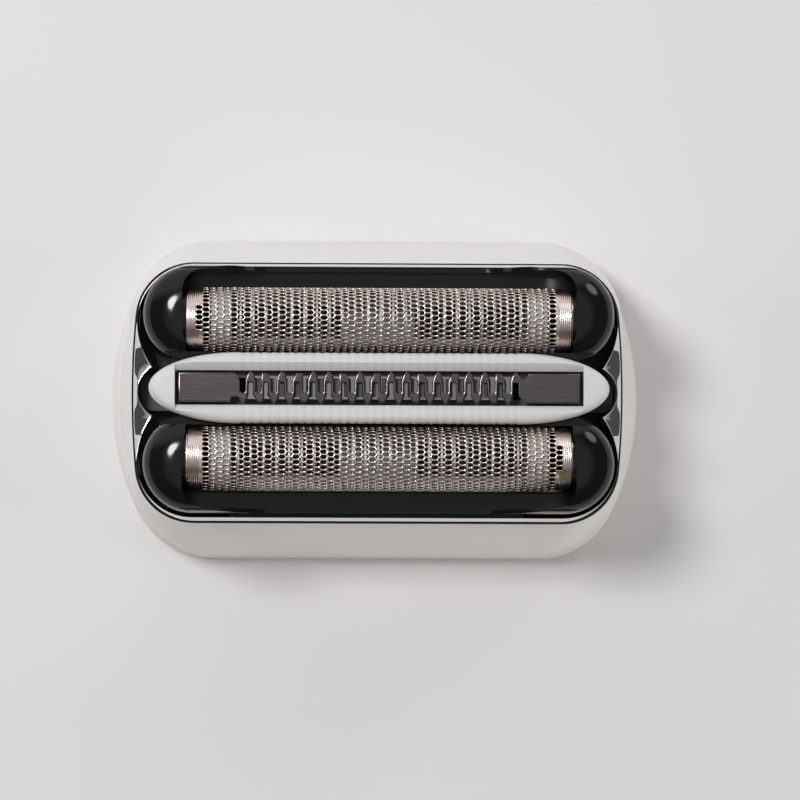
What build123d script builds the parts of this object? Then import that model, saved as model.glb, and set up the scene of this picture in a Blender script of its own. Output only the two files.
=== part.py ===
from build123d import *
import math
import os

# Foil head of an electric shaver, lying with its foils up. Sizes are in millimetres.
# +X runs along the foils, +Y is to the rear, +Z is up, and the origin is the middle of the underside.

# Foils: arched perforated sheets, one in each floating frame
FOIL_RADIUS = 3.5
FOIL_THICKNESS = 0.15
FOIL_LENGTH = 41.4
FOIL_CORNER = 1.6
FOIL_OFFSET = 7.45
FOIL_STAND = 3.7
FOIL_FACETS = 11
HOLE_LENGTH = 3.4
HOLE_WIDTH = 0.62
HOLE_WEB = 1.0
HOLE_ROWS = 5
HOLE_MARGIN = 1.8

# Floating frames: stadium in plan, domed ends, a window with a sunk ledge
FRAME_RADIUS = 5.25
FRAME_SHIFT = 0.55
FRAME_DOME_LENGTH = 4.2
FRAME_HEIGHT = 13.2
FRAME_LEDGE_HEIGHT = 6.1
FRAME_LIP_HEIGHT = 1.0
FRAME_LIP = 0.42
DOME_ROUND = 4.0
DOME_STEPS = 6
SCOOP_RADIUS = 5.0
WINDOW_GAP = 0.4
WINDOW_CORNER = 2.2
FOIL_SEAT_HEIGHT = 2.0
FOIL_SEAT = 0.3
PLUG_LENGTH = 1.0
STOP_RAIL_LENGTH = 32.0
STOP_RAIL = 0.7
STOP_RAIL_HEIGHT = 1.0

# Cutters: carrier bar with a drive socket, and a pack of arched lamellae
CUTTER_END = 2.2
CARRIER_HEIGHT = 3.8
CARRIER_RAIL = 1.2
CARRIER_WEB_LENGTH = 8.0
CARRIER_WEB_HEIGHT = 1.8
SOCKET_RADIUS = 1.5
SOCKET_WALL = 0.9
SOCKET_BORE_DEPTH = 5.0
HUB_LENGTH = 6.5
LAMELLA_COUNT = 13
LAMELLA_THICKNESS = 0.25
LAMELLA_RING = 0.95
LAMELLA_LEG = 2.3
LAMELLA_SIDES = 6
CUTTER_STROKE = 1.2

# Trimmer: lens-shaped holder, stamped comb, moving blade and driver
COMB_LENGTH = 43.0
COMB_WIDTH = 3.16
COMB_SHEET = 0.25
COMB_FLANGE = 2.0
COMB_FLANGE_LENGTH = 5.6
COMB_PITCH = 1.669
COMB_TEETH = "PFPFPPFPFPPFPFPPFP"
COMB_SLOT = 0.49
COMB_SLOT_REACH = 0.56
COMB_TIP = 1.79
COMB_FLAT = 1.54
COMB_FLAT_WIDTH = 0.66
COMB_FLAT_SHIFT = 0.2
COMB_TAB = 0.9
COMB_WAIST = 0.75
COMB_SHOULDER = 1.36
COMB_OGIVE = 0.36
COMB_NOTCH = 0.55
TRIMMER_SINK = 0.4
HOLDER_TIP = 2.8
HOLDER_END_LENGTH = 9.65
HOLDER_WING = 1.45
HOLDER_BEVEL = 1.1
HOLDER_BODY_INSET = 2.07
HOLDER_CREST = 2.72
HOLDER_SLOT_DROP = 0.4
HOLDER_FOOT_WIDTH = 3.8
HOLDER_FOOT_HEIGHT = 1.2
COMB_SINK = 0.2
COMB_SIDE_GAP = 0.27
COMB_END_GAP = 0.37
BLADE_LENGTH = 28.6
BLADE_SHEET = 0.25
BLADE_FLANGE = 1.5
BLADE_PITCH = 1.36
BLADE_TOOTH = 0.62
BLADE_MARGIN = 0.65
DRIVER_LENGTH = 27.4
DRIVER_BAR_HEIGHT = 5.85
DRIVER_FORK_LENGTH = 5.2
DRIVER_FORK_SLOT = 1.8
DRIVER_FORK_DEPTH = 3.6
TRIMMER_STROKE = 0.8

# Casing: open underside for the shaver's neck, chassis plate, deck and plated bezel
SOCKET_DEPTH = 5.6
CHASSIS_THICKNESS = 1.6
CHASSIS_POST = 1.1
CHASSIS_POST_REACH = 1.2
DECK_THICKNESS = 1.8
BEZEL_HEIGHT = 1.6
BEZEL_BAND_X = 0.8
BEZEL_BAND_Y = 0.75
BEZEL_CORNER = 6.3
BEZEL_END_RADIUS = 90.0
BEZEL_LEAN = 7.0
LOBE_CORNER = 5.85
LOBE_CUSP_RADIUS = 8.2
TRIMMER_LOBE_RADIUS = 2.83
TRIMMER_LOBE_GAP = 1.2
BASE_FLARE_X = 2.3
BASE_FLARE_Y = 3.35
BASE_CORNER = 9.0
BASE_END_RADIUS = 29.0
BELLY = ((0.3, 0.13), (0.55, 0.34), (0.8, 0.64))
CAVITY_CORNER = 5.6
SHOULDER_X = 0.85
SHOULDER_Y = 1.0
SOCKET_CORNER = 7.0
SOCKET_END_RADIUS = 40.0
LUG_LENGTH = 4.0
LUG_HEIGHT = 0.65
LUG_OFFSET = 14.0
LUG_REACH = 0.7
LATCH_WIDTH = 9.0
LATCH_HEIGHT = 2.0
LATCH_DEPTH = 0.6
LATCH_FLOOR = 2.0

# Leaf springs: thin bowed strips
LEAF_THICKNESS = 0.15
FOIL_LEAF_LENGTH = 34.0
FOIL_LEAF_WIDTH = 1.6
TRIMMER_LEAF_LENGTH = 13.0
TRIMMER_LEAF_WIDTH = 1.6
BLADE_LEAF_LENGTH = 8.0
BLADE_LEAF_WIDTH = 1.2
BLADE_LEAF_RISE = 1.6

# Chords in which the curved outlines are drawn: half turns, corners, bowed ends and leaf springs
ROUND_CHORDS = 18
CORNER_CHORDS = 8
BOW_CHORDS = 6
LEAF_CHORDS = 6

# Travel and clearances
FLOAT_TRAVEL = 2.2
FLOAT_SPARE = 0.3
TRIMMER_TRAVEL = 1.0
STOP_GAP = 0.1
FIT_GAP = 0.03
RUNNING_GAP = 0.05
SIDE_GAP = 0.2
END_GAP = 0.6
DECK_GAP = 0.1
CAVITY_GAP = 0.25
PLATE_GAP = 0.12
WING_GAP = 0.15
BODY_GAP = 0.5
FOOT_GAP = 0.45
CUTTER_END_GAP = 0.53

# Heights, from the underside up
CHASSIS_TOP = SOCKET_DEPTH + CHASSIS_THICKNESS
FRAME_BOTTOM = CHASSIS_TOP + FLOAT_SPARE + FLOAT_TRAVEL
DECK_UNDER = FRAME_BOTTOM + STOP_RAIL_HEIGHT + STOP_GAP
CASING_TOP = DECK_UNDER + DECK_THICKNESS
LEDGE_TOP = FRAME_BOTTOM + FRAME_LEDGE_HEIGHT
LIP_TOP = LEDGE_TOP + FRAME_LIP_HEIGHT
DOME_TOP = FRAME_BOTTOM + FRAME_HEIGHT
FOIL_AXIS = LEDGE_TOP + FOIL_STAND
FOIL_BOTTOM = FRAME_BOTTOM + FOIL_SEAT_HEIGHT
HOLDER_TOP = FOIL_AXIS + FOIL_RADIUS - TRIMMER_SINK
COMB_TOP = HOLDER_TOP - COMB_SINK
COMB_SEAT = COMB_TOP - COMB_FLANGE
WING_UNDER = HOLDER_TOP - HOLDER_WING
HOLDER_BOTTOM = DECK_UNDER - STOP_GAP - HOLDER_FOOT_HEIGHT
BLADE_TOP = COMB_TOP - COMB_SHEET - RUNNING_GAP
DRIVER_TOP = BLADE_TOP - BLADE_SHEET
DRIVER_UNDER = DRIVER_TOP - DRIVER_BAR_HEIGHT
HOLDER_FLOOR = DRIVER_UNDER - BLADE_LEAF_RISE
FORK_UNDER = SOCKET_DEPTH + FLOAT_SPARE + TRIMMER_TRAVEL
HUB_UNDER = SOCKET_DEPTH + FLOAT_SPARE + FLOAT_TRAVEL

# Plan sizes that follow from those above
FRAME_OFFSET = FOIL_OFFSET + FRAME_SHIFT
WINDOW_END = FOIL_LENGTH / 2 + WINDOW_GAP
FRAME_END = WINDOW_END + FRAME_DOME_LENGTH
FRAME_OUTER = FRAME_OFFSET + FRAME_RADIUS
FRAME_INNER = FRAME_OFFSET - FRAME_RADIUS
FOIL_INNER_RADIUS = FOIL_RADIUS - FOIL_THICKNESS
FOIL_SLIT = FOIL_RADIUS + FIT_GAP
CUTTER_RADIUS = FOIL_INNER_RADIUS - RUNNING_GAP
WELL_END = FOIL_LENGTH / 2 + FIT_GAP - PLUG_LENGTH
CUTTER_LENGTH = 2 * (WELL_END - CUTTER_STROKE - CUTTER_END_GAP)
WING_SIDE = FOIL_OFFSET - FOIL_RADIUS - WING_GAP
SLOT_SIDE = COMB_WIDTH / 2 + COMB_SIDE_GAP
SLOT_END = COMB_LENGTH / 2 + COMB_END_GAP
HOLDER_END = SLOT_END + HOLDER_TIP
TRIMMER_LOBE_END = HOLDER_END + TRIMMER_LOBE_GAP
OPENING_END = max(FRAME_END + END_GAP, TRIMMER_LOBE_END)
OPENING_SIDE = FRAME_OUTER + SIDE_GAP
RIM_END = OPENING_END + BEZEL_BAND_X
RIM_SIDE = OPENING_SIDE + BEZEL_BAND_Y
BASE_END = RIM_END + BASE_FLARE_X
BASE_SIDE = RIM_SIDE + BASE_FLARE_Y
CAVITY_END = OPENING_END + CAVITY_GAP
CAVITY_SIDE = FRAME_OUTER + STOP_RAIL + CAVITY_GAP
SOCKET_END = CAVITY_END + SHOULDER_X
SOCKET_SIDE = CAVITY_SIDE + SHOULDER_Y
HOLDER_BODY_END = HOLDER_END - HOLDER_BODY_INSET
HOLDER_FOOT_END = CAVITY_END - FOOT_GAP
BODY_SIDE = FRAME_INNER - BODY_GAP
BLADE_SIDE = COMB_WIDTH / 2 - COMB_SHEET - 2 * RUNNING_GAP
DRIVER_SIDE = BLADE_SIDE - BLADE_SHEET - RUNNING_GAP
DRIVER_WELL = DRIVER_SIDE + 4 * RUNNING_GAP
BLADE_COUNT = int((BLADE_LENGTH - 2 * BLADE_MARGIN) / BLADE_PITCH)
DRIVER_ROOM = max(BLADE_LENGTH, DRIVER_LENGTH) / 2 + TRIMMER_STROKE + SIDE_GAP
FORK_ROOM = DRIVER_FORK_LENGTH / 2 + TRIMMER_STROKE + SIDE_GAP
HUB_SIDE = SOCKET_RADIUS + SOCKET_WALL

# Half a turn, which takes a rear piece to its front twin
TURN = Rot(0, 0, 180)


def slab(x_low, x_high, y_low, y_high, z_low, z_high):
    """Block between two corners."""
    middle = ((x_low + x_high) / 2, (y_low + y_high) / 2, (z_low + z_high) / 2)
    return Pos(*middle) * Box(x_high - x_low, y_high - y_low, z_high - z_low)


def chord_outline(arcs):
    """Points along arcs, each (centre x, centre y, radius, first angle, last angle, chords)."""
    points = []
    for x, y, radius, first, last, chords in arcs:
        for step in range(chords + 1):
            angle = math.radians(first + (last - first) * step / chords)
            point = (x + radius * math.cos(angle), y + radius * math.sin(angle))
            if not points or min(math.dist(point, points[-1]), math.dist(point, points[0])) > 1e-4:
                points.append(point)
    return points


def prism(points, low, high):
    """Upright block on an outline, between two heights."""
    return Pos(0, 0, low) * extrude(make_face(Polyline(*points, close=True)), high - low)


def faceted_loft(sections):
    """Body with flat facets between outlines of equally many points, given as (outline, height)."""
    rings = [[(x, y, height) for x, y in points] for points, height in sections]
    faces = [Face(Wire.make_polygon(rings[0][::-1])), Face(Wire.make_polygon(rings[-1]))]
    for low, high in zip(rings, rings[1:]):
        for here in range(len(low)):
            after = (here + 1) % len(low)
            faces.append(Face(Wire.make_polygon([low[here], low[after], high[after]])))
            faces.append(Face(Wire.make_polygon([low[here], high[after], high[here]])))
    return Solid(Shell(faces))


def bowed_outline(end, side, corner, end_radius):
    """Rounded rectangle whose short ends are bowed arcs, tangent to its corners."""
    bow_x = end - end_radius
    corner_y = side - corner
    bow = math.degrees(math.asin(corner_y / (end_radius - corner)))
    corner_x = bow_x + (end_radius - corner) * math.cos(math.radians(bow))
    arcs = []
    for sign, turn in ((1, 0), (-1, 180)):
        arcs.append((sign * bow_x, 0, end_radius, turn - bow, turn + bow, BOW_CHORDS))
        arcs.append((sign * corner_x, sign * corner_y, corner, turn + bow, turn + 90, CORNER_CHORDS))
        arcs.append((-sign * corner_x, sign * corner_y, corner, turn + 90, turn + 180 - bow, CORNER_CHORDS))
    return chord_outline(arcs)


def stadium(end, radius):
    """Long outline with round ends."""
    middle = end - radius
    return chord_outline([(middle, 0, radius, -90, 90, ROUND_CHORDS), (-middle, 0, radius, 90, 270, ROUND_CHORDS)])


def rounded_box(end, low, high, low_corner, high_corner):
    """Rectangle between two heights, with one corner radius below and one above."""
    low_x = end - low_corner
    high_x = end - high_corner
    return chord_outline([
        (low_x, low + low_corner, low_corner, -90, 0, CORNER_CHORDS),
        (high_x, high - high_corner, high_corner, 0, 90, CORNER_CHORDS),
        (-high_x, high - high_corner, high_corner, 90, 180, CORNER_CHORDS),
        (-low_x, low + low_corner, low_corner, 180, 270, CORNER_CHORDS)])


def scalloped_opening(grow):
    """Outlines of the opening for both frames and the trimmer, which meet in two cusps at each end."""
    side = OPENING_SIDE + grow
    corner = LOBE_CORNER + grow
    cusp = LOBE_CUSP_RADIUS + grow
    lobe = rounded_box(OPENING_END + grow, side - corner - cusp - RUNNING_GAP, side, cusp, corner)
    front_lobe = [(-x, -y) for x, y in lobe]
    return [lobe, front_lobe, stadium(TRIMMER_LOBE_END + grow, TRIMMER_LOBE_RADIUS + grow)]


def make_housing():
    """Flared casing with an open underside, a scalloped deck, chassis lugs and latch pockets."""
    sections = []
    for height, inset in ((0, 0), *BELLY, (1, 1)):
        outline = bowed_outline(BASE_END - BASE_FLARE_X * inset, BASE_SIDE - BASE_FLARE_Y * inset,
                                BASE_CORNER + (BEZEL_CORNER - BASE_CORNER) * inset,
                                BASE_END_RADIUS + (BEZEL_END_RADIUS - BASE_END_RADIUS) * inset)
        sections.append((outline, CASING_TOP * height))
    shell = faceted_loft(sections)

    shell -= prism(bowed_outline(SOCKET_END, SOCKET_SIDE, SOCKET_CORNER, SOCKET_END_RADIUS), 0, CHASSIS_TOP)
    shell -= prism(bowed_outline(CAVITY_END, CAVITY_SIDE, CAVITY_CORNER, BEZEL_END_RADIUS), 0, DECK_UNDER)
    for outline in scalloped_opening(DECK_GAP):
        shell -= prism(outline, DECK_UNDER, CASING_TOP)

    lug_top = SOCKET_DEPTH - RUNNING_GAP
    for x in (-LUG_OFFSET, LUG_OFFSET):
        lug = slab(x - LUG_LENGTH / 2, x + LUG_LENGTH / 2,
                   SOCKET_SIDE - LUG_REACH, SOCKET_SIDE + PLATE_GAP, lug_top - LUG_HEIGHT, lug_top)
        shell += [lug, mirror(lug, Plane.XZ)]

    pocket_end = SOCKET_END + LATCH_DEPTH
    shell -= slab(-pocket_end, pocket_end, -LATCH_WIDTH / 2, LATCH_WIDTH / 2,
                  LATCH_FLOOR, LATCH_FLOOR + LATCH_HEIGHT)
    return shell


def make_bezel():
    """Plated ring on the deck: both walls lean to a narrow ridge, with two cusps at each short end."""
    lean = BEZEL_HEIGHT * math.tan(math.radians(BEZEL_LEAN))
    foot = bowed_outline(RIM_END, RIM_SIDE, BEZEL_CORNER, BEZEL_END_RADIUS)
    ridge = bowed_outline(RIM_END - lean, RIM_SIDE - lean, BEZEL_CORNER - lean, BEZEL_END_RADIUS - lean)
    top = CASING_TOP + BEZEL_HEIGHT
    ring = faceted_loft([(foot, CASING_TOP), (ridge, top)])
    for low, high in zip(scalloped_opening(0), scalloped_opening(lean)):
        ring -= faceted_loft([(low, CASING_TOP), (high, top)])
    return ring


def make_chassis():
    """Plate under the frames, open below the cutters and the driver, with posts up to the deck."""
    outline = bowed_outline(SOCKET_END - PLATE_GAP, SOCKET_SIDE - PLATE_GAP,
                            SOCKET_CORNER - PLATE_GAP, SOCKET_END_RADIUS - PLATE_GAP)
    chassis = prism(outline, SOCKET_DEPTH, CHASSIS_TOP)
    window_end = CUTTER_LENGTH / 2 - CUTTER_END
    window_side = CUTTER_RADIUS - FOIL_SEAT
    for y in (-FOIL_OFFSET, FOIL_OFFSET):
        chassis -= slab(-window_end, window_end, y - window_side, y + window_side, SOCKET_DEPTH, CHASSIS_TOP)
    chassis -= slab(-FORK_ROOM, FORK_ROOM, -DRIVER_WELL, DRIVER_WELL, SOCKET_DEPTH, CHASSIS_TOP)
    post_y = HOLDER_FOOT_WIDTH / 2 + BODY_GAP
    post_x = OPENING_END - 2 * DECK_GAP
    for x_sign in (-1, 1):
        x_low, x_high = sorted((x_sign * post_x, x_sign * (post_x - CHASSIS_POST_REACH)))
        post = slab(x_low, x_high, post_y, post_y + CHASSIS_POST, CHASSIS_TOP, DECK_UNDER)
        chassis += [post, mirror(post, Plane.XZ)]
    return chassis


def scoop(floor, y_low, y_high):
    """Hollow with a flat floor that sweeps up in arcs to the domes at both ends."""
    flat = WINDOW_END - SCOOP_RADIUS
    rise = floor + SCOOP_RADIUS
    top = DOME_TOP + SCOOP_RADIUS
    outline = chord_outline([(flat, rise, SCOOP_RADIUS, -90, 0, CORNER_CHORDS), (WINDOW_END, top, 0, 0, 0, 1),
                             (-WINDOW_END, top, 0, 0, 0, 1),
                             (-flat, rise, SCOOP_RADIUS, 180, 270, CORNER_CHORDS)])
    profile = Plane.XZ * make_face(Polyline(*outline, close=True))
    return Pos(0, y_high, 0) * extrude(profile, y_high - y_low)


def facet_arch(radius, bottom):
    """Arch outline of flat facets on straight legs, each facet wide enough for one row of holes."""
    points = [(radius, bottom)]
    for step in range(FOIL_FACETS + 1):
        angle = math.pi * step / FOIL_FACETS
        points.append((radius * math.cos(angle), FOIL_AXIS + radius * math.sin(angle)))
    points.append((-radius, bottom))
    return make_face(Polyline(*points, close=True))


def arch_bar(radius, bottom, x_low, x_high):
    """Bar with the arch section between two places along the foil."""
    profile = Plane.YZ * facet_arch(radius, bottom)
    return Pos(x_low, FOIL_OFFSET, 0) * extrude(profile, x_high - x_low)


def make_frame():
    """Rear floating frame: domed stadium, sunk ledge, foil slit, end plugs and an up-stop rail."""
    sections = [(stadium(FRAME_END, FRAME_RADIUS), FRAME_BOTTOM)]
    for step in range(DOME_STEPS + 1):
        angle = math.pi / 2 * step / DOME_STEPS
        inset = DOME_ROUND * (1 - math.cos(angle))
        height = DOME_TOP - DOME_ROUND * (1 - math.sin(angle))
        sections.append((stadium(FRAME_END - inset, FRAME_RADIUS - inset), height))
    frame = Pos(0, FRAME_OFFSET, 0) * faceted_loft(sections)

    frame -= scoop(LIP_TOP, FRAME_INNER, FRAME_OUTER)
    window = rounded_box(WINDOW_END, FOIL_OFFSET - FOIL_SLIT, FRAME_OUTER - FRAME_LIP, WINDOW_CORNER, WINDOW_CORNER)
    frame -= prism(window, FRAME_BOTTOM, DOME_TOP) & scoop(LEDGE_TOP, FRAME_INNER, FRAME_OUTER)

    slit_end = FOIL_LENGTH / 2 + FIT_GAP
    frame -= slab(-slit_end, slit_end, FOIL_OFFSET - FOIL_SLIT, FOIL_OFFSET + FOIL_SLIT,
                  FOIL_BOTTOM, DOME_TOP)
    well_side = FOIL_SLIT - FOIL_SEAT
    frame -= slab(-WELL_END, WELL_END, FOIL_OFFSET - well_side, FOIL_OFFSET + well_side,
                  FRAME_BOTTOM, FOIL_BOTTOM)
    for x_low, x_high in ((WELL_END, WINDOW_END), (-WINDOW_END, -WELL_END)):
        frame += arch_bar(FOIL_INNER_RADIUS - FIT_GAP, FOIL_BOTTOM, x_low, x_high)

    rail_side = FRAME_OUTER + STOP_RAIL
    frame += slab(-STOP_RAIL_LENGTH / 2, STOP_RAIL_LENGTH / 2, FRAME_OUTER - FRAME_LIP, rail_side,
                  FRAME_BOTTOM, FRAME_BOTTOM + STOP_RAIL_HEIGHT)
    return frame


def make_foil():
    """Rear foil: thin arch with straight flanks, rounded corners and staggered six-sided holes."""
    end = FOIL_LENGTH / 2
    foil = arch_bar(FOIL_RADIUS, FOIL_BOTTOM, -end, end)
    foil -= arch_bar(FOIL_INNER_RADIUS, FOIL_BOTTOM, -end, end)
    trim_side = FOIL_RADIUS + FOIL_CORNER / 2
    trim = rounded_box(end, FOIL_OFFSET - trim_side, FOIL_OFFSET + trim_side, FOIL_CORNER, FOIL_CORNER)
    foil &= prism(trim, FOIL_BOTTOM, FOIL_AXIS + FOIL_RADIUS)

    half = HOLE_LENGTH / 2
    tip = HOLE_WIDTH / 2
    hexagon = make_face(Polyline((-half, 0), (tip - half, tip), (half - tip, tip), (half, 0),
                                 (half - tip, -tip), (tip - half, -tip), close=True))
    cutter = Pos(0, 0, FOIL_INNER_RADIUS / 2) * extrude(hexagon, FOIL_RADIUS)
    pitch = HOLE_LENGTH + HOLE_WEB
    columns = int((FOIL_LENGTH - 2 * HOLE_MARGIN - HOLE_LENGTH) / pitch) + 1
    turn = 2 * 180 / FOIL_FACETS
    holes = []
    for row in range(HOLE_ROWS):
        angle = (row - (HOLE_ROWS - 1) / 2) * turn
        staggered = row % 2
        for column in range(columns - staggered):
            x = (column - (columns - 1 - staggered) / 2) * pitch
            holes.append(Pos(x, FOIL_OFFSET, FOIL_AXIS) * Rot(angle, 0, 0) * cutter)
    return foil - holes


def make_carrier():
    """Rear cutter carrier: two rails, half-round ends and a middle web with a drive socket."""
    top = FOIL_AXIS - LAMELLA_LEG
    bottom = top - CARRIER_HEIGHT
    end = CUTTER_LENGTH / 2
    side = FOIL_SLIT - FOIL_SEAT - SIDE_GAP
    carrier = slab(-end, end, FOIL_OFFSET - side, FOIL_OFFSET + side, bottom, top)
    well = end - CUTTER_END
    inner = side - CARRIER_RAIL
    carrier -= slab(-well, well, FOIL_OFFSET - inner, FOIL_OFFSET + inner, bottom, top)
    for x_low in (-end, well):
        carrier += arch_bar(CUTTER_RADIUS - RUNNING_GAP, bottom, x_low, x_low + CUTTER_END)
    carrier += slab(-CARRIER_WEB_LENGTH / 2, CARRIER_WEB_LENGTH / 2, FOIL_OFFSET - inner,
                    FOIL_OFFSET + inner, bottom, bottom + CARRIER_WEB_HEIGHT)
    carrier += slab(-HUB_LENGTH / 2, HUB_LENGTH / 2, FOIL_OFFSET - HUB_SIDE, FOIL_OFFSET + HUB_SIDE,
                    HUB_UNDER, bottom + CARRIER_WEB_HEIGHT)
    bore = extrude(Circle(SOCKET_RADIUS), SOCKET_BORE_DEPTH)
    return carrier - Pos(0, FOIL_OFFSET, HUB_UNDER) * bore


def make_lamellae():
    """Rear pack of arched cutting lamellae, standing on the carrier's rails."""
    foot = FOIL_AXIS - LAMELLA_LEG
    side = FOIL_SLIT - FOIL_SEAT - SIDE_GAP
    inner_radius = CUTTER_RADIUS - LAMELLA_RING
    outer = [(side, foot)]
    inner = [(side - LAMELLA_RING, foot)]
    for step in range(LAMELLA_SIDES + 1):
        angle = math.pi * step / LAMELLA_SIDES
        outer.append((CUTTER_RADIUS * math.cos(angle), FOIL_AXIS + CUTTER_RADIUS * math.sin(angle)))
        if step % 3 == 0:
            inner.append((inner_radius * math.cos(angle), FOIL_AXIS + inner_radius * math.sin(angle)))
    outer.append((-side, foot))
    inner.append((LAMELLA_RING - side, foot))
    profile = Plane.YZ * make_face(Polyline(*outer, *reversed(inner), close=True))
    lamella = Pos(-LAMELLA_THICKNESS / 2, FOIL_OFFSET, 0) * extrude(profile, LAMELLA_THICKNESS)
    pitch = (CUTTER_LENGTH - 2 * CUTTER_END) / LAMELLA_COUNT
    middle = (LAMELLA_COUNT - 1) / 2
    return Compound([Pos((number - middle) * pitch, 0, 0) * lamella for number in range(LAMELLA_COUNT)])


def lens_outline(inset):
    """Outline of the trimmer's wings, with a long elliptical tip at each end."""
    straight = HOLDER_END - HOLDER_END_LENGTH
    points = []
    for sign in (1, -1):
        for step in range(ROUND_CHORDS + 1):
            angle = math.pi * (step / ROUND_CHORDS - 0.5)
            x = straight + (HOLDER_END_LENGTH - inset) * math.cos(angle)
            y = (WING_SIDE - inset) * math.sin(angle)
            points.append((sign * x, sign * y))
    return points


def make_holder():
    """Trimmer holder: lens-shaped wings, a slot for the comb, a slim body and two end feet."""
    holder = faceted_loft([(lens_outline(0), WING_UNDER), (lens_outline(0), HOLDER_TOP - HOLDER_BEVEL),
                           (lens_outline(HOLDER_BEVEL), HOLDER_TOP)])
    holder += prism(stadium(HOLDER_BODY_END, BODY_SIDE), HOLDER_BOTTOM, WING_UNDER)
    for x_sign in (-1, 1):
        x_low, x_high = sorted((x_sign * HOLDER_FOOT_END, x_sign * (HOLDER_BODY_END - BODY_SIDE)))
        holder += slab(x_low, x_high, -HOLDER_FOOT_WIDTH / 2, HOLDER_FOOT_WIDTH / 2,
                       HOLDER_BOTTOM, HOLDER_BOTTOM + HOLDER_FOOT_HEIGHT)

    valley = make_face(Polyline((-HOLDER_CREST, HOLDER_TOP), (-SLOT_SIDE, HOLDER_TOP - HOLDER_SLOT_DROP),
                                (SLOT_SIDE, HOLDER_TOP - HOLDER_SLOT_DROP), (HOLDER_CREST, HOLDER_TOP),
                                close=True))
    holder -= Pos(-SLOT_END, 0, 0) * extrude(Plane.YZ * valley, 2 * SLOT_END)
    holder -= slab(-SLOT_END, SLOT_END, -SLOT_SIDE, SLOT_SIDE, COMB_SEAT, HOLDER_TOP)
    holder -= slab(-DRIVER_ROOM, DRIVER_ROOM, -DRIVER_WELL, DRIVER_WELL, HOLDER_FLOOR, COMB_SEAT)
    holder -= slab(-FORK_ROOM, FORK_ROOM, -DRIVER_WELL, DRIVER_WELL, HOLDER_BOTTOM, HOLDER_FLOOR)
    return holder


def comb_gap(slot_x, left, right):
    """One gap of the comb: a slot that opens out between two teeth, given as (kind, place, shift)."""
    half = COMB_SLOT / 2
    over = 2 * COMB_TIP
    points = [(slot_x - half, -COMB_SLOT_REACH), (slot_x + half, -COMB_SLOT_REACH)]
    points += tooth_flank(slot_x + half, right, 1) + [(right[1], over), (left[1], over)]
    points += reversed(tooth_flank(slot_x - half, left, -1))
    return make_face(Polyline(*points, close=True))


def tooth_flank(wall_x, tooth, facing):
    """Points up one side of a tooth, from the slot's wall to the tooth's tip."""
    kind, place, shift = tooth
    root = (wall_x, COMB_WAIST)
    if kind == "P":
        shoulder = (wall_x + (place - wall_x) * COMB_OGIVE, COMB_SHOULDER)
        return [root, shoulder, (place, COMB_TIP)]
    if kind == "F":
        corner = place + shift - facing * COMB_FLAT_WIDTH / 2
        return [root, (corner, COMB_FLAT), (place, COMB_FLAT)]
    return [root, (place, COMB_TIP)]


def make_comb():
    """Stamped comb: serpentine of slots from both edges, end plates and folded-down sides."""
    count = len(COMB_TEETH)
    first = -(count - 1.5) / 2 * COMB_PITCH
    flats = 0
    teeth = []
    for number, kind in enumerate(COMB_TEETH):
        shift = 0
        if kind == "F":
            shift = COMB_FLAT_SHIFT * (-1 if flats % 2 == 0 else 1)
            flats += 1
        teeth.append((kind, first + number * COMB_PITCH, shift))
    last = teeth[-1][1]
    neighbours = [("E", first - COMB_PITCH, 0)] + teeth

    sheet = Rectangle(COMB_LENGTH, COMB_WIDTH)
    sheet += Rectangle(2 * (last + COMB_SLOT), 2 * COMB_TIP)
    notch = Pos(last + COMB_PITCH / 2, COMB_TIP) * RegularPolygon(COMB_NOTCH, ROUND_CHORDS)
    sheet -= [notch, Rot(0, 0, 180) * notch]
    for left, right in zip(neighbours, teeth):
        gap = comb_gap(right[1] - COMB_PITCH / 2, left, right)
        sheet -= [gap, Rot(0, 0, 180) * gap]
    comb = Pos(0, 0, COMB_TOP - COMB_SHEET) * extrude(sheet, COMB_SHEET)

    end = COMB_LENGTH / 2
    side = COMB_WIDTH / 2
    fold = slab(end - COMB_FLANGE_LENGTH, end, side - COMB_SHEET, side, COMB_SEAT, COMB_TOP)
    folds = [fold, mirror(fold, Plane.XZ), mirror(fold, Plane.YZ), Rot(0, 0, 180) * fold]
    for kind, place, shift in teeth:
        if kind == "F":
            tab = slab(place + shift - COMB_FLAT_WIDTH / 2, place + shift + COMB_FLAT_WIDTH / 2,
                       COMB_FLAT - COMB_SHEET, COMB_FLAT, COMB_TOP - COMB_TAB, COMB_TOP)
            folds += [tab, Rot(0, 0, 180) * tab]
    return comb + folds


def make_blade():
    """Moving trimmer blade: folded channel whose top is a ladder of cutting bars."""
    end = BLADE_LENGTH / 2
    inner = BLADE_SIDE - BLADE_SHEET
    blade = slab(-end, end, -BLADE_SIDE, BLADE_SIDE, BLADE_TOP - BLADE_FLANGE, BLADE_TOP)
    blade -= slab(-end, end, -inner, inner, BLADE_TOP - BLADE_FLANGE, BLADE_TOP - BLADE_SHEET)
    half = (BLADE_PITCH - BLADE_TOOTH) / 2
    for number in range(BLADE_COUNT):
        x = (number - (BLADE_COUNT - 1) / 2) * BLADE_PITCH
        blade -= slab(x - half, x + half, -inner, inner, BLADE_TOP - BLADE_SHEET, BLADE_TOP)
    return blade


def make_driver():
    """Slider under the blade, with a leg that ends in a fork for the drive pin."""
    end = DRIVER_LENGTH / 2
    fork = DRIVER_FORK_LENGTH / 2
    driver = slab(-end, end, -DRIVER_SIDE, DRIVER_SIDE, DRIVER_UNDER, DRIVER_TOP)
    driver += slab(-fork, fork, -DRIVER_SIDE, DRIVER_SIDE, FORK_UNDER, DRIVER_UNDER)
    driver -= slab(-DRIVER_FORK_SLOT / 2, DRIVER_FORK_SLOT / 2, -DRIVER_SIDE, DRIVER_SIDE,
                   FORK_UNDER, FORK_UNDER + DRIVER_FORK_DEPTH)
    return driver


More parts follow.
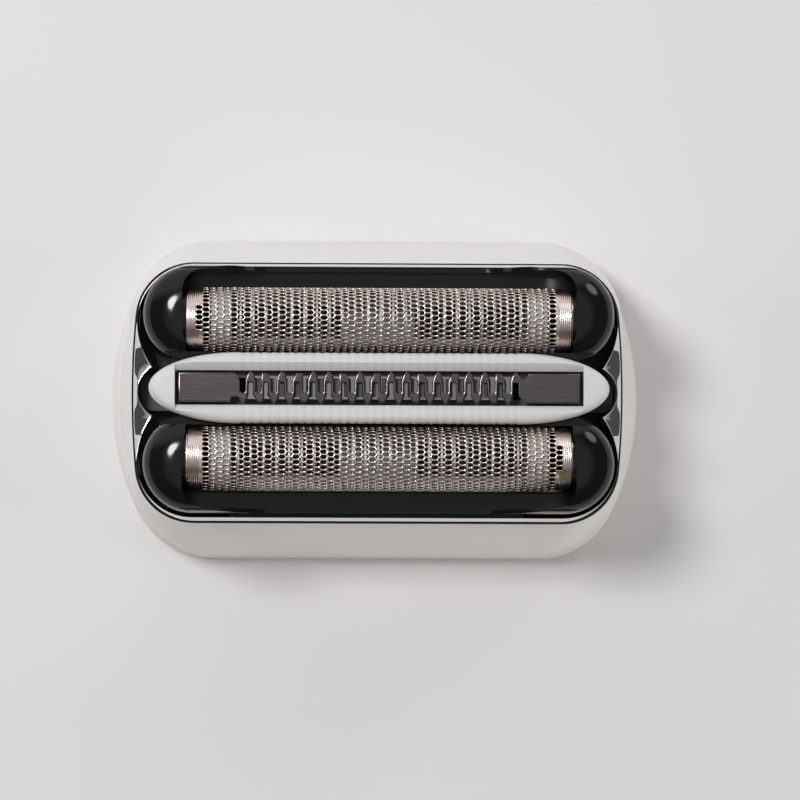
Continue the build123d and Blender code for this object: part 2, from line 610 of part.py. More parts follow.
def leaf(length, width, floor, rise):
    """Bowed strip that stands on its two ends and carries at its crown."""
    bow = rise - LEAF_THICKNESS
    places = [2 * step / LEAF_CHORDS - 1 for step in range(LEAF_CHORDS + 1)]
    under = [(length / 2 * place, floor + bow * (1 - place * place)) for place in places]
    over = [(x, z + LEAF_THICKNESS) for x, z in reversed(under)]
    strip = Plane.XZ * make_face(Polyline(*under, *over, close=True))
    return Pos(0, width / 2, 0) * extrude(strip, width)


def make_foil_leaf():
    """Rear foil spring, under the frame's thick outer side."""
    y = (FOIL_OFFSET + FOIL_SLIT + FRAME_OUTER) / 2
    return Pos(0, y, 0) * leaf(FOIL_LEAF_LENGTH, FOIL_LEAF_WIDTH, CHASSIS_TOP, FRAME_BOTTOM - CHASSIS_TOP)


def make_trimmer_leaf():
    """Right trimmer spring, under the holder's body."""
    x = FORK_ROOM + SIDE_GAP + TRIMMER_LEAF_LENGTH / 2
    return Pos(x, 0, 0) * leaf(TRIMMER_LEAF_LENGTH, TRIMMER_LEAF_WIDTH, CHASSIS_TOP,
                               HOLDER_BOTTOM - CHASSIS_TOP)


def make_blade_leaves():
    """Two leaf springs between the holder's floor and the driver."""
    x = FORK_ROOM + TRIMMER_STROKE + SIDE_GAP + BLADE_LEAF_LENGTH / 2
    strip = leaf(BLADE_LEAF_LENGTH, BLADE_LEAF_WIDTH, HOLDER_FLOOR, BLADE_LEAF_RISE)
    return Compound([Pos(-x, 0, 0) * strip, Pos(x, 0, 0) * strip])


nodes = {
    "housing_shell": make_housing(),
    "chrome_bezel": make_bezel(),
    "chassis": make_chassis(),
    "trimmer_holder": make_holder(),
    "trimmer_comb": make_comb(),
    "trimmer_blade": make_blade(),
    "trimmer_driver": make_driver(),
    "trimmer_blade_spring": make_blade_leaves(),
}
pairs = {
    "foil_frame": make_frame(),
    "foil": make_foil(),
    "cutter_carrier": make_carrier(),
    "cutter_blades": make_lamellae(),
    "foil_spring": make_foil_leaf(),
}
for name, piece in pairs.items():
    nodes[name + "_rear"] = piece
    nodes[name + "_front"] = TURN * piece
trimmer_leaf = make_trimmer_leaf()
nodes["trimmer_spring_right"] = trimmer_leaf
nodes["trimmer_spring_left"] = TURN * trimmer_leaf

os.makedirs("parts", exist_ok=True)
for name, piece in nodes.items():
    export_step(piece, f"parts/{name}.step")
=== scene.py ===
import math

import bmesh
import bpy
from mathutils import Matrix, Vector


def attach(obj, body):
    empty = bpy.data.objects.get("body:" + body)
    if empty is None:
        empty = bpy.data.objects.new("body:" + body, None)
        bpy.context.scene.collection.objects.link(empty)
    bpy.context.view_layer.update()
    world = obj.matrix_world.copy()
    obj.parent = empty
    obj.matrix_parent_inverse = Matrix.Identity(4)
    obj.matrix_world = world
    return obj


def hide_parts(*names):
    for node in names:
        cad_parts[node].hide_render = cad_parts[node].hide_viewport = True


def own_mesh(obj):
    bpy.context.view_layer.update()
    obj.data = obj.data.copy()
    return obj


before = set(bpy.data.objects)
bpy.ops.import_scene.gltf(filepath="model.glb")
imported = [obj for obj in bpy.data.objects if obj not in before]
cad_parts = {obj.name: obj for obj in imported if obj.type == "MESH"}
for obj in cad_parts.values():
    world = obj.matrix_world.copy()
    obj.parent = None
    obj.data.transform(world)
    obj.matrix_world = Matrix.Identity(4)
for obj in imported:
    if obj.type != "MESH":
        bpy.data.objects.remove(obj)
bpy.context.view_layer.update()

# Casing: the white shell that carries everything, open below to sit over the shaver's neck.
# It is moulded in glossy plastic, with a shoulder for the inner plate, four lugs that hold it
# and a pocket in each end for the shaver's catches.
MM = 0.001
BASE_END, BASE_SIDE, BASE_CORNER, BASE_BOW = 29.0, 17.55, 9.0, 29.0
RIM_END, RIM_SIDE, RIM_CORNER, RIM_BOW = 26.7, 14.2, 6.3, 90.0
SOCKET_END, SOCKET_SIDE, SOCKET_CORNER, SOCKET_BOW = 27.0, 15.2, 7.0, 40.0
CAVITY_END, CAVITY_SIDE, CAVITY_CORNER = 26.15, 14.2, 5.6
PLATE_UNDER, PLATE_TOP, DECK_UNDER, DECK_TOP = 5.6, 7.2, 10.8, 12.6
OPENING_END, OPENING_SIDE, LOBE_CORNER, LOBE_CUSP = 25.9, 13.45, 5.85, 8.2
TRIMMER_LOBE_END, TRIMMER_LOBE = 25.87, 2.83
LOBE_STEPS, CUSP_STEPS, CORNER_STEPS = 14, 22, 20
WALL_LEVELS = 12
WALL_BELLY = 1.75
END_STEPS = ((0.0, 0.0), (0.6, 0.1), (0.95, 0.36), (1.5, 0.46), (1.9, 0.78))
GROOVE_WALL, GROOVE_WIDTH, GROOVE_DEPTH = 0.04, 0.21, 0.9
OPENING_ROOM = 0.1
LUG_PLACE, LUG_LENGTH, LUG_HEIGHT, LUG_REACH, LUG_GAP, LUG_ROOT = 14.0, 4.0, 0.65, 0.7, 0.05, 1.01
POCKET_REACH, POCKET_WIDTH, POCKET_FLOOR, POCKET_TOP = 27.6, 9.0, 2.0, 4.0
MERGE = 1e-4
WHITE_PLASTIC = (0.80, 0.787, 0.765, 1)


class Shade:
    """Socket of a material's node tree. Arithmetic on it adds Math nodes."""

    def __init__(self, tree, socket=None):
        self.tree = tree
        self.socket = socket

    def node(self, kind, settings=None, sockets=None, output=0):
        """New node: its settings first, then the values or links of its sockets."""
        made = self.tree.nodes.new("ShaderNode" + kind)
        for name, value in (settings or {}).items():
            setattr(made, name, value)
        for name, value in (sockets or {}).items():
            if isinstance(value, Shade):
                self.tree.links.new(value.socket, made.inputs[name])
            else:
                made.inputs[name].default_value = value
        return Shade(self.tree, made.outputs[output])

    def maths(self, operation, *values):
        return self.node("Math", {"operation": operation}, dict(enumerate(values)))

    def __add__(self, other):
        return self.maths("ADD", self, other)

    def __sub__(self, other):
        return self.maths("SUBTRACT", self, other)

    def __rsub__(self, other):
        return self.maths("SUBTRACT", other, self)

    def __mul__(self, other):
        return self.maths("MULTIPLY", self, other)

    def __truediv__(self, other):
        return self.maths("DIVIDE", self, other)

    def __gt__(self, other):
        return self.maths("GREATER_THAN", self, other)

    def __lt__(self, other):
        return self.maths("LESS_THAN", self, other)

    def __abs__(self):
        return self.maths("ABSOLUTE", self)

    __radd__ = __add__
    __rmul__ = __mul__

    def clamp(self):
        return self.node("Clamp", None, {"Value": self})

    def axes(self):
        """The x, y and z of a vector."""
        return [self.node("SeparateXYZ", None, {"Vector": self}, axis) for axis in "XYZ"]

    def millimetres(self):
        """Place on the piece, in millimetres."""
        place = self.node("TexCoord", None, None, "Object")
        return self.node("VectorMath", {"operation": "SCALE"}, {0: place, "Scale": 1 / MM})

    def noise(self, place, scale, detail=2.0):
        return self.node("TexNoise", None, {"Vector": place, "Scale": scale, "Detail": detail})

    def stretched(self, place, factors):
        return self.node("VectorMath", {"operation": "MULTIPLY"}, {0: place, 1: factors})

    def mix(self, factor, first, second):
        return self.node("Mix", {"data_type": "RGBA"}, {"Factor": factor, 6: first, 7: second}, 2)

    def bump(self, height, strength, distance):
        """Normal from a height in millimetres."""
        return self.node("Bump", None, {"Height": height, "Strength": strength, "Distance": distance * MM}, "Normal")


def new_material(name, **constants):
    """Material with one Principled shader, and a Shade to draw its nodes with."""
    material = bpy.data.materials.new(name)
    material.use_nodes = True
    surface = material.node_tree.nodes["Principled BSDF"]
    for socket, value in constants.items():
        surface.inputs[socket.replace("_", " ")].default_value = value
    return material, surface, Shade(material.node_tree)


def feed(surface, **shades):
    """Links shades to the sockets of a Principled shader."""
    for socket, shade in shades.items():
        shade.tree.links.new(shade.socket, surface.inputs[socket.replace("_", " ")])


def chain_to(bm, vert, place):
    """Extrudes a vertex to a place and gives the new vertex."""
    made = bmesh.ops.extrude_vert_indiv(bm, verts=[vert])["verts"][0]
    made.co = place
    return made


def only_verts(geom):
    """The vertices of a mixed list."""
    return [item for item in geom if isinstance(item, bmesh.types.BMVert)]


def chain_arc(bm, vert, centre, axis, angle, steps):
    """Extrudes a vertex along an arc and gives the last vertex."""
    made = bmesh.ops.spin(bm, geom=[vert], cent=centre, axis=axis, angle=angle, steps=steps)
    return only_verts(made["geom_last"])[0]


def walk(vert):
    """The vertices of an open chain in order, from its first one."""
    chain, edge = [vert], None
    while True:
        ahead = [link for link in chain[-1].link_edges if link is not edge]
        if not ahead:
            return chain
        edge = ahead[0]
        chain.append(edge.other_vert(chain[-1]))


def mirrored(bm):
    """Mirrors a quarter to the whole, across both upright planes."""
    for axis in "XY":
        bmesh.ops.mirror(bm, geom=bm.verts[:] + bm.edges[:] + bm.faces[:], merge_dist=MERGE, axis=axis)


def bowed_quarter(bm, height, end, side, corner, bow_radius):
    """Row of a quarter outline: half a bowed end, a round corner and half a straight side."""
    bow = math.asin((side - corner) / (bow_radius - corner))
    corner_x = end - bow_radius + (bow_radius - corner) * math.cos(bow)
    start = bm.verts.new((end, 0, height))
    vert = chain_arc(bm, start, (end - bow_radius, 0, height), (0, 0, 1), bow, LOBE_STEPS + CUSP_STEPS)
    vert = chain_arc(bm, vert, (corner_x, side - corner, height), (0, 0, 1), math.pi / 2 - bow, CORNER_STEPS)
    chain_to(bm, vert, (0, side, height))
    return walk(start)


def scalloped_quarter(bm, height, grow):
    """Row of a quarter outline round the trimmer's lobe, a cusp and a frame's lobe."""
    lobe, cusp, corner = TRIMMER_LOBE + grow, LOBE_CUSP + grow, LOBE_CORNER + grow
    lobe_centre = Vector((TRIMMER_LOBE_END - TRIMMER_LOBE, 0, height))
    cusp_centre = Vector((OPENING_END - LOBE_CUSP, OPENING_SIDE - LOBE_CORNER, height))
    corner_centre = (OPENING_END - LOBE_CORNER, OPENING_SIDE - LOBE_CORNER, height)
    between = cusp_centre - lobe_centre
    span = between.length
    towards = math.atan2(between.y, between.x)
    lobe_angle = towards - math.acos((lobe ** 2 + span ** 2 - cusp ** 2) / (2 * lobe * span))
    cusp_angle = math.acos((cusp ** 2 + span ** 2 - lobe ** 2) / (2 * cusp * span)) - (math.pi - towards)
    start = bm.verts.new((TRIMMER_LOBE_END + grow, 0, height))
    vert = chain_arc(bm, start, lobe_centre, (0, 0, 1), lobe_angle, LOBE_STEPS)
    vert = chain_arc(bm, vert, cusp_centre, (0, 0, 1), -cusp_angle, CUSP_STEPS)
    vert = chain_arc(bm, vert, corner_centre, (0, 0, 1), math.pi / 2, CORNER_STEPS)
    chain_to(bm, vert, (0, OPENING_SIDE + grow, height))
    return walk(start)


def stitched(bm, rows):
    """Fills the strips between rows of vertices, then mirrors that quarter to the whole."""
    for first, second in zip(rows, rows[1:]):
        for number in range(len(first) - 1):
            bm.faces.new((first[number], first[number + 1], second[number + 1], second[number]))
    mirrored(bm)
    bmesh.ops.recalc_face_normals(bm, faces=bm.faces)


def block(bm, low, high):
    """Adds a box between two corners."""
    size = Vector(high) - Vector(low)
    place = Matrix.Translation((Vector(low) + Vector(high)) / 2) @ Matrix.Diagonal((*size, 1))
    return bmesh.ops.create_cube(bm, size=1, matrix=place)["verts"]


def mesh_object(bm, name):
    """Closes a bmesh in millimetres into an object in metres."""
    bmesh.ops.scale(bm, verts=bm.verts, vec=(MM, MM, MM))
    mesh = bpy.data.meshes.new(name)
    bm.to_mesh(mesh)
    bm.free()
    piece = bpy.data.objects.new(name, mesh)
    bpy.context.scene.collection.objects.link(piece)
    return piece


def carved(bm, cutters):
    """Takes cutters, given as bmeshes, out of a bmesh."""
    piece = mesh_object(bm, "stock")
    tools = []
    for cutter in cutters:
        tool = mesh_object(cutter, "cutter")
        modifier = piece.modifiers.new("cut", "BOOLEAN")
        modifier.operation = "DIFFERENCE"
        modifier.solver = "EXACT"
        modifier.object = tool
        tools.append(tool)
    result = bmesh.new()
    result.from_object(piece, bpy.context.evaluated_depsgraph_get())
    bmesh.ops.scale(result, verts=result.verts, vec=(1 / MM, 1 / MM, 1 / MM))
    for item in (piece, *tools):
        bpy.data.meshes.remove(item.data)
    bmesh.ops.remove_doubles(result, verts=result.verts, dist=MERGE)
    return result


def place_piece(bm, name, material, body, nodes, smooth=30, outwards=True, level=1e4):
    """Finished piece from a bmesh: shaded, coloured, on its body and in place of its nodes."""
    if outwards:
        bmesh.ops.recalc_face_normals(bm, faces=bm.faces)
    piece = mesh_object(bm, name)
    piece.data.shade_smooth()
    piece.data.set_sharp_from_angle(angle=math.radians(smooth))
    for face in piece.data.polygons:
        if face.area > level * MM ** 2:
            face.use_smooth = False
    piece.data.materials.append(material)
    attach(piece, body)
    if nodes:
        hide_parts(*nodes)
    return piece


white_plastic = new_material("white_gloss_plastic", Base_Color=WHITE_PLASTIC, Roughness=0.28, IOR=1.5)[0]

casing = bmesh.new()
foot_height, foot_back = END_STEPS[-1]
profile = list(END_STEPS)
profile += [(foot_height + (DECK_TOP - foot_height) * level / WALL_LEVELS, foot_back)
            for level in range(1, WALL_LEVELS + 1)]
rows = []
for height, back in profile:
    inset = (height / DECK_TOP) ** WALL_BELLY
    end = BASE_END - back
    rows.append(bowed_quarter(
        casing, height, end + (RIM_END - end) * inset, BASE_SIDE + (RIM_SIDE - BASE_SIDE) * inset,
        BASE_CORNER + (RIM_CORNER - BASE_CORNER) * inset, BASE_BOW + (RIM_BOW - BASE_BOW) * inset))
rows += [bowed_quarter(casing, height, RIM_END - GROOVE_WALL, RIM_SIDE - GROOVE_WALL, RIM_CORNER, RIM_BOW)
         for height in (DECK_TOP, DECK_TOP - GROOVE_DEPTH)]
rows += [scalloped_quarter(casing, height, OPENING_ROOM) for height in (DECK_TOP - GROOVE_DEPTH, DECK_UNDER)]
rows += [bowed_quarter(casing, height, CAVITY_END, CAVITY_SIDE, CAVITY_CORNER, RIM_BOW)
         for height in (DECK_UNDER, PLATE_TOP)]
rows += [bowed_quarter(casing, height, SOCKET_END, SOCKET_SIDE, SOCKET_CORNER, SOCKET_BOW)
         for height in (PLATE_TOP, 0)]
stitched(casing, rows + rows[:1])
pocket = bmesh.new()
block(pocket, (-POCKET_REACH, -POCKET_WIDTH / 2, POCKET_FLOOR), (POCKET_REACH, POCKET_WIDTH / 2, POCKET_TOP))
casing = carved(casing, [pocket])
for x in (-LUG_PLACE, LUG_PLACE):
    for y in (-SOCKET_SIDE, SOCKET_SIDE):
        low, high = sorted((y * (1 - LUG_REACH / SOCKET_SIDE), y * LUG_ROOT))
        block(casing, (x - LUG_LENGTH / 2, low, PLATE_UNDER - LUG_GAP - LUG_HEIGHT),
              (x + LUG_LENGTH / 2, high, PLATE_UNDER - LUG_GAP))
place_piece(casing, "casing_shell", white_plastic, "casing", ["housing_shell"])

# Trim ring: a bright plated ring glued on the casing's deck, round the opening.
# Moulded plastic with a mirror-like chrome coat. Its ridge follows the scalloped opening,
# and from there it falls outwards in a full curve.
RING_HEIGHT, RING_LEAN = 1.6, 0.05
RIDGE_ROUND, RIDGE_STEPS = 0.12, 5
SLOPE_START, SLOPE_TURN, SLOPE_STEPS = 0.4, 0.35, 8
BRINK, BRINK_STEPS = 0.13, 4

plated, surface, pen = new_material("plated_trim", Metallic=1.0, Roughness=0.05)
place = pen.millimetres()
feed(surface,
     Base_Color=pen.mix(pen.noise(place, 0.5), (0.86, 0.86, 0.87, 1), (0.80, 0.80, 0.82, 1)),
     Roughness=0.03 + 0.05 * pen.noise(place, 1.5))

ring = bmesh.new()
ring_top = DECK_TOP + RING_HEIGHT
ring_back = GROOVE_WALL + GROOVE_WIDTH
ring_bottom = DECK_TOP - GROOVE_DEPTH
rows = [bowed_quarter(ring, ring_bottom, RIM_END - ring_back, RIM_SIDE - ring_back, RIM_CORNER, RIM_BOW)]
ridge_rows = []
for step in range(RIDGE_STEPS + 1):
    angle = math.pi / 2 * step / RIDGE_STEPS
    ridge_rows.append(scalloped_quarter(ring, ring_top - RIDGE_ROUND * (1 - math.cos(angle)),
                                        RING_LEAN + RIDGE_ROUND * (1 - math.sin(angle))))
pairs = [(ridge.co.copy(), foot.co.copy()) for ridge, foot in zip(ridge_rows[0], rows[0])]


def slope_spot(ridge, foot, share):
    """Place part of the way from the ridge out to the foot, on a slope that steepens outwards."""
    out = Vector((foot.x - ridge.x, foot.y - ridge.y, 0))
    return ridge + out * share - Vector((0, 0, SLOPE_START * share + SLOPE_TURN * share ** 2))


def brink_share(ridge, foot):
    """Share of the way out at which the slope's rounded brink starts."""
    return 1 - BRINK / (slope_spot(ridge, foot, 1) - ridge).length


for step in range(BRINK_STEPS + 1):
    share = step / BRINK_STEPS
    row = []
    for ridge, foot in pairs:
        corner = slope_spot(ridge, foot, 1)
        upper = slope_spot(ridge, foot, brink_share(ridge, foot))
        lower = corner - Vector((0, 0, BRINK))
        row.append(ring.verts.new(lower.lerp(corner, share).lerp(corner.lerp(upper, share), share)))
    rows.append(row)
for step in range(1, SLOPE_STEPS):
    rows.append([ring.verts.new(slope_spot(ridge, foot, brink_share(ridge, foot) * (1 - step / SLOPE_STEPS)))
                 for ridge, foot in pairs])
rows += ridge_rows + [scalloped_quarter(ring, ring_bottom, 0)]
stitched(ring, rows + rows[:1])
place_piece(ring, "trim_ring", plated, "casing", ["chrome_bezel"], smooth=50)

# Groove shade: a thin black strip that fills the groove between the casing and the trim ring, as painted shade in
# that groove. It takes the frames' glossy black plastic, and is sunk a little below the casing's edge.
GROOVE_SHADE_CLEAR, GROOVE_SHADE_DROP = 0.01, 0.08

black_plastic, surface, pen = new_material("black_gloss_plastic", Roughness=0.16, IOR=1.42)
place = pen.millimetres()
feed(surface,
     Base_Color=pen.mix(pen.noise(place, 0.2), (0.004, 0.004, 0.0045, 1), (0.007, 0.007, 0.008, 1)),
     Roughness=0.08 + 0.07 * pen.noise(place, 5.0, 4.0),
     Normal=pen.bump(pen.noise(place, 6.0), 0.03, 0.02))

groove_shade = bmesh.new()
groove_shade_bottom, groove_shade_top = ring_bottom + GROOVE_SHADE_CLEAR, DECK_TOP - GROOVE_SHADE_DROP
groove_shade_out, groove_shade_in = GROOVE_WALL + GROOVE_SHADE_CLEAR, ring_back - GROOVE_SHADE_CLEAR
rows = [bowed_quarter(groove_shade, height, RIM_END - back, RIM_SIDE - back, RIM_CORNER, RIM_BOW) for back, height in (
    (groove_shade_out, groove_shade_bottom), (groove_shade_out, groove_shade_top), (groove_shade_in, groove_shade_top), (groove_shade_in, groove_shade_bottom))]
stitched(groove_shade, rows + rows[:1])
# The dark strip is painted shade in the groove round the trim ring.
place_piece(groove_shade, "groove_shade_strip", black_plastic, "casing", [])

# Inner plate: the floor under the frames, pressed up into the casing's socket behind the lugs.
# Moulded in dark grey plastic, left matt, open below the cutters and the trimmer's fork.
grey_plastic, surface, pen = new_material("grey_plastic", Roughness=0.5)
place = pen.millimetres()
feed(surface,
     Base_Color=pen.mix(pen.noise(place, 0.3), (0.055, 0.056, 0.06, 1), (0.075, 0.076, 0.08, 1)),
     Roughness=0.42 + 0.16 * pen.noise(place, 2.0),
     Normal=pen.bump(pen.noise(place, 14.0), 0.15, 0.03))


def dress_node(node, material):
    """Gives a CAD node that is shown as it is a finer material."""
    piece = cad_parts[node]
    piece.data.materials.clear()
    piece.data.materials.append(material)


dress_node("chassis", grey_plastic)

# Springs: bowed strips of blue-grey spring steel that lift the frames, the trimmer and its blade.
# They stand loose on the plate and the holder's floor, with their crowns against what they lift.
LEAF_THICK, LEAF_WIDTH, LEAF_STEPS = 0.15, 1.6, 24
FOIL_LEAF_PLACE, FOIL_LEAF_LENGTH, FOIL_LEAF_RISE, FOIL_LEAF_KEEP = 12.115, 34.0, 2.5, 0.11
TRIMMER_LEAF_PLACE, TRIMMER_LEAF_LENGTH, TRIMMER_LEAF_RISE, TRIMMER_LEAF_KEEP = 10.25, 13.0, 2.3, 0.55
SIDES = {"rear": 1, "front": -1}

spring_steel, surface, pen = new_material("spring_steel", Metallic=1.0, Roughness=0.3)
place = pen.millimetres()
strokes = pen.noise(pen.stretched(place, (0.3, 12.0, 12.0)), 1.0, 3.0)
feed(surface,
     Base_Color=pen.mix(strokes, (0.42, 0.43, 0.46, 1), (0.55, 0.56, 0.58, 1)),
     Roughness=0.22 + 0.2 * strokes)
dress_node("trimmer_blade_spring", spring_steel)


def bowed_leaf(name, x, y, length, rise):
    """Leaf spring that stands on the inner plate, bowed up to what it lifts."""
    leaf = bmesh.new()
    vert = leaf.verts.new((x - length / 2, y - LEAF_WIDTH / 2, PLATE_TOP))
    for step in range(1, LEAF_STEPS + 1):
        share = 2 * step / LEAF_STEPS - 1
        vert = chain_to(leaf, vert, (x + length / 2 * share, y - LEAF_WIDTH / 2,
                                     PLATE_TOP + (rise - LEAF_THICK) * (1 - share ** 2)))
    drawn = bmesh.ops.extrude_edge_only(leaf, edges=leaf.edges[:])["geom"]
    bmesh.ops.translate(leaf, verts=only_verts(drawn), vec=(0, LEAF_WIDTH, 0))
    drawn = bmesh.ops.extrude_face_region(leaf, geom=leaf.faces[:])["geom"]
    bmesh.ops.translate(leaf, verts=only_verts(drawn), vec=(0, 0, LEAF_THICK))
    piece = place_piece(leaf, name + "_leaf", spring_steel, "casing", [name])
    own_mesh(piece)


for side, sign in SIDES.items():
    bowed_leaf("foil_spring_" + side, 0, sign * FOIL_LEAF_PLACE,
               FOIL_LEAF_LENGTH, FOIL_LEAF_RISE)
for side, sign in (("right", 1), ("left", -1)):
    bowed_leaf("trimmer_spring_" + side, sign * TRIMMER_LEAF_PLACE, 0,
               TRIMMER_LEAF_LENGTH, TRIMMER_LEAF_RISE)

# Cutters: a light grey moulded carrier under each foil, with a drive socket in its underside,
# and a pack of thin arched steel lamellae pressed into the carrier's two rails.
FOIL_AXIS, FOIL_PLACE, FOIL_RADIUS = 19.5, 7.45, 3.46
LAMELLA_RADIUS, LAMELLA_RING, LAMELLA_LEG = 3.3, 0.95, 2.3
LAMELLA_SIDE, LAMELLA_THICK, LAMELLA_STEPS = 3.03, 0.22, 20
LAMELLA_COUNT, LAMELLA_PITCH = 23, 1.36
HALF_TURN = Matrix.Rotation(math.pi, 3, "Z")

carrier_plastic, surface, pen = new_material("light_plastic", Roughness=0.45)
place = pen.millimetres()
feed(surface,
     Base_Color=pen.mix(pen.noise(place, 0.3), (0.36, 0.36, 0.355, 1), (0.42, 0.42, 0.41, 1)),
     Roughness=0.4 + 0.12 * pen.noise(place, 1.2),
     Normal=pen.bump(pen.noise(place, 12.0), 0.1, 0.02))
lamella_steel, surface, pen = new_material("stamped_steel", Metallic=1.0, Roughness=0.4)
place = pen.millimetres()
strokes = pen.noise(pen.stretched(place, (20.0, 1.5, 1.5)), 1.0, 3.0)
feed(surface,
     Base_Color=pen.mix(strokes, (0.50, 0.50, 0.51, 1), (0.66, 0.655, 0.65, 1)),
     Roughness=0.34 + 0.2 * strokes)

for side, sign in SIDES.items():
    dress_node("cutter_carrier_" + side, carrier_plastic)
    lamellae = bmesh.new()
    foot_height = FOIL_AXIS - LAMELLA_LEG
    leg = lamellae.verts.new((0, FOIL_PLACE + LAMELLA_SIDE, foot_height))
    start = chain_to(lamellae, leg, (0, FOIL_PLACE + LAMELLA_RADIUS, FOIL_AXIS))
    last = chain_arc(lamellae, start, (0, FOIL_PLACE, FOIL_AXIS), (1, 0, 0), math.pi, LAMELLA_STEPS)
    chain_to(lamellae, last, (0, FOIL_PLACE - LAMELLA_SIDE, foot_height))
    band = bmesh.ops.extrude_edge_only(lamellae, edges=lamellae.edges[:])["geom"]
    thin = 1 - LAMELLA_RING / LAMELLA_RADIUS
    for vert in only_verts(band):
        vert.co.y = FOIL_PLACE + (vert.co.y - FOIL_PLACE) * thin
        if vert.co.z > FOIL_AXIS:
            vert.co.z = FOIL_AXIS + (vert.co.z - FOIL_AXIS) * thin
    bmesh.ops.recalc_face_normals(lamellae, faces=lamellae.faces)
    bmesh.ops.solidify(lamellae, geom=lamellae.faces[:], thickness=LAMELLA_THICK)
    first = lamellae.verts[:] + lamellae.edges[:] + lamellae.faces[:]
    for number in range(LAMELLA_COUNT):
        copy = bmesh.ops.duplicate(lamellae, geom=first)["geom"]
        x = (number - (LAMELLA_COUNT - 1) / 2) * LAMELLA_PITCH
        bmesh.ops.translate(lamellae, verts=only_verts(copy), vec=(x, 0, 0))
    bmesh.ops.delete(lamellae, geom=only_verts(first), context="VERTS")
    if sign < 0:
        bmesh.ops.rotate(lamellae, verts=lamellae.verts, matrix=HALF_TURN)
    place_piece(lamellae, "lamellae_" + side, lamella_steel, "cutter_" + side,
                ["cutter_blades_" + side])

# Foil frames: the two black frames that float in the opening, each with a dome at both ends.
# Moulded in glossy black plastic, with a sunk ledge along the outer side, a window for the foil
# and a half-round plug at each end that the foil is sprung over.
FRAME_PLACE, FRAME_RADIUS, FRAME_END = 8.0, 5.25, 25.3
FRAME_BOTTOM, DOME_TOP, DOME_EDGE, DOME_CROWN, DOME_TURN = 9.7, 22.9, 2.6, 4.6, 35.0
LEDGE_TOP, LIP_TOP, FRAME_LIP = 15.8, 16.8, 0.42
WINDOW_END, WINDOW_CORNER, SCOOP_RADIUS, SCOOP_START = 21.1, 2.4, 11.0, 16.1
SIDE_FLAT, SIDE_HOLLOW, SIDE_SWELL, SIDE_TURN = 11.1, 3.2, 6.2, 55.5
FOIL_SLIT, FOIL_BOTTOM, FOIL_END = 3.53, 11.7, 20.73
WELL_SIDE, WELL_END = 3.23, 19.73
PLUG_RADIUS, PLUG_ROOT, PLUG_SINK = 3.32, 0.3, 0.2
RAIL_END, RAIL_OUT, RAIL_HEIGHT = 16.0, 0.7, 1.0
DOME_STEPS, ROUND_STEPS, PLUG_STEPS = 8, 28, 32
SCOOP_STEPS, WINDOW_STEPS, HOLLOW_STEPS, SWELL_STEPS = 24, 12, 14, 12
HOLDER_END, HOLDER_TIP_LENGTH, WING_SIDE, WING_UNDER = 24.67, 9.65, 3.8, 21.15
TIP_STEPS, RIBS, RIB_STEPS = 40, 16, 6
WING_TRAVEL, WING_ROOM = 1.0, 0.2
CUT_PAST, CUT_ABOVE, SIDE_PAST, MASK_PAST = 1.0, 2.0, 6.0, 5.0
FRAME_INNER, FRAME_OUTER = FRAME_PLACE - FRAME_RADIUS, FRAME_PLACE + FRAME_RADIUS


def drawn_out(bm, vec):
    """Fills a closed outline and draws it out into a solid."""
    face = bmesh.ops.contextual_create(bm, geom=bm.edges[:])["faces"]
    made = bmesh.ops.extrude_face_region(bm, geom=face)["geom"]
    bmesh.ops.translate(bm, verts=only_verts(made), vec=vec)
    bmesh.ops.recalc_face_normals(bm, faces=bm.faces)


def scoop(low, high):
    """Block with a flat floor that sweeps up in arcs at both ends, its upright corners rounded."""
    bm = bmesh.new()
    vert = bm.verts.new((0, low, LEDGE_TOP))
    vert = chain_to(bm, vert, (SCOOP_START, low, LEDGE_TOP))
    vert = chain_arc(bm, vert, (SCOOP_START, low, LEDGE_TOP + SCOOP_RADIUS), (0, -1, 0),
                     math.asin((WINDOW_END - SCOOP_START) / SCOOP_RADIUS), SCOOP_STEPS)
    vert = chain_to(bm, vert, (WINDOW_END, low, DOME_TOP + CUT_ABOVE))
    chain_to(bm, vert, (0, low, DOME_TOP + CUT_ABOVE))
    bmesh.ops.mirror(bm, geom=bm.verts[:] + bm.edges[:], merge_dist=MERGE, axis="X")
    drawn_out(bm, (0, high - low, 0))
    mask = bmesh.new()
    middle = (low + high) / 2
    vert = mask.verts.new((WINDOW_END, middle, FRAME_BOTTOM))
    vert = chain_to(mask, vert, (WINDOW_END, high - WINDOW_CORNER, FRAME_BOTTOM))
    vert = chain_arc(mask, vert, (WINDOW_END - WINDOW_CORNER, high - WINDOW_CORNER, FRAME_BOTTOM), (0, 0, 1),
                     math.pi / 2, WINDOW_STEPS)
    chain_to(mask, vert, (0, high, FRAME_BOTTOM))
    bmesh.ops.translate(mask, verts=mask.verts, vec=(0, -middle, 0))
    mirrored(mask)
    bmesh.ops.translate(mask, verts=mask.verts, vec=(0, middle, 0))
    drawn_out(mask, (0, 0, DOME_TOP))
    outer = bmesh.new()
    block(outer, (-WINDOW_END - MASK_PAST, low - MASK_PAST, FRAME_BOTTOM - MASK_PAST),
          (WINDOW_END + MASK_PAST, high + MASK_PAST, DOME_TOP + MASK_PAST))
    return carved(bm, [carved(outer, [mask])])


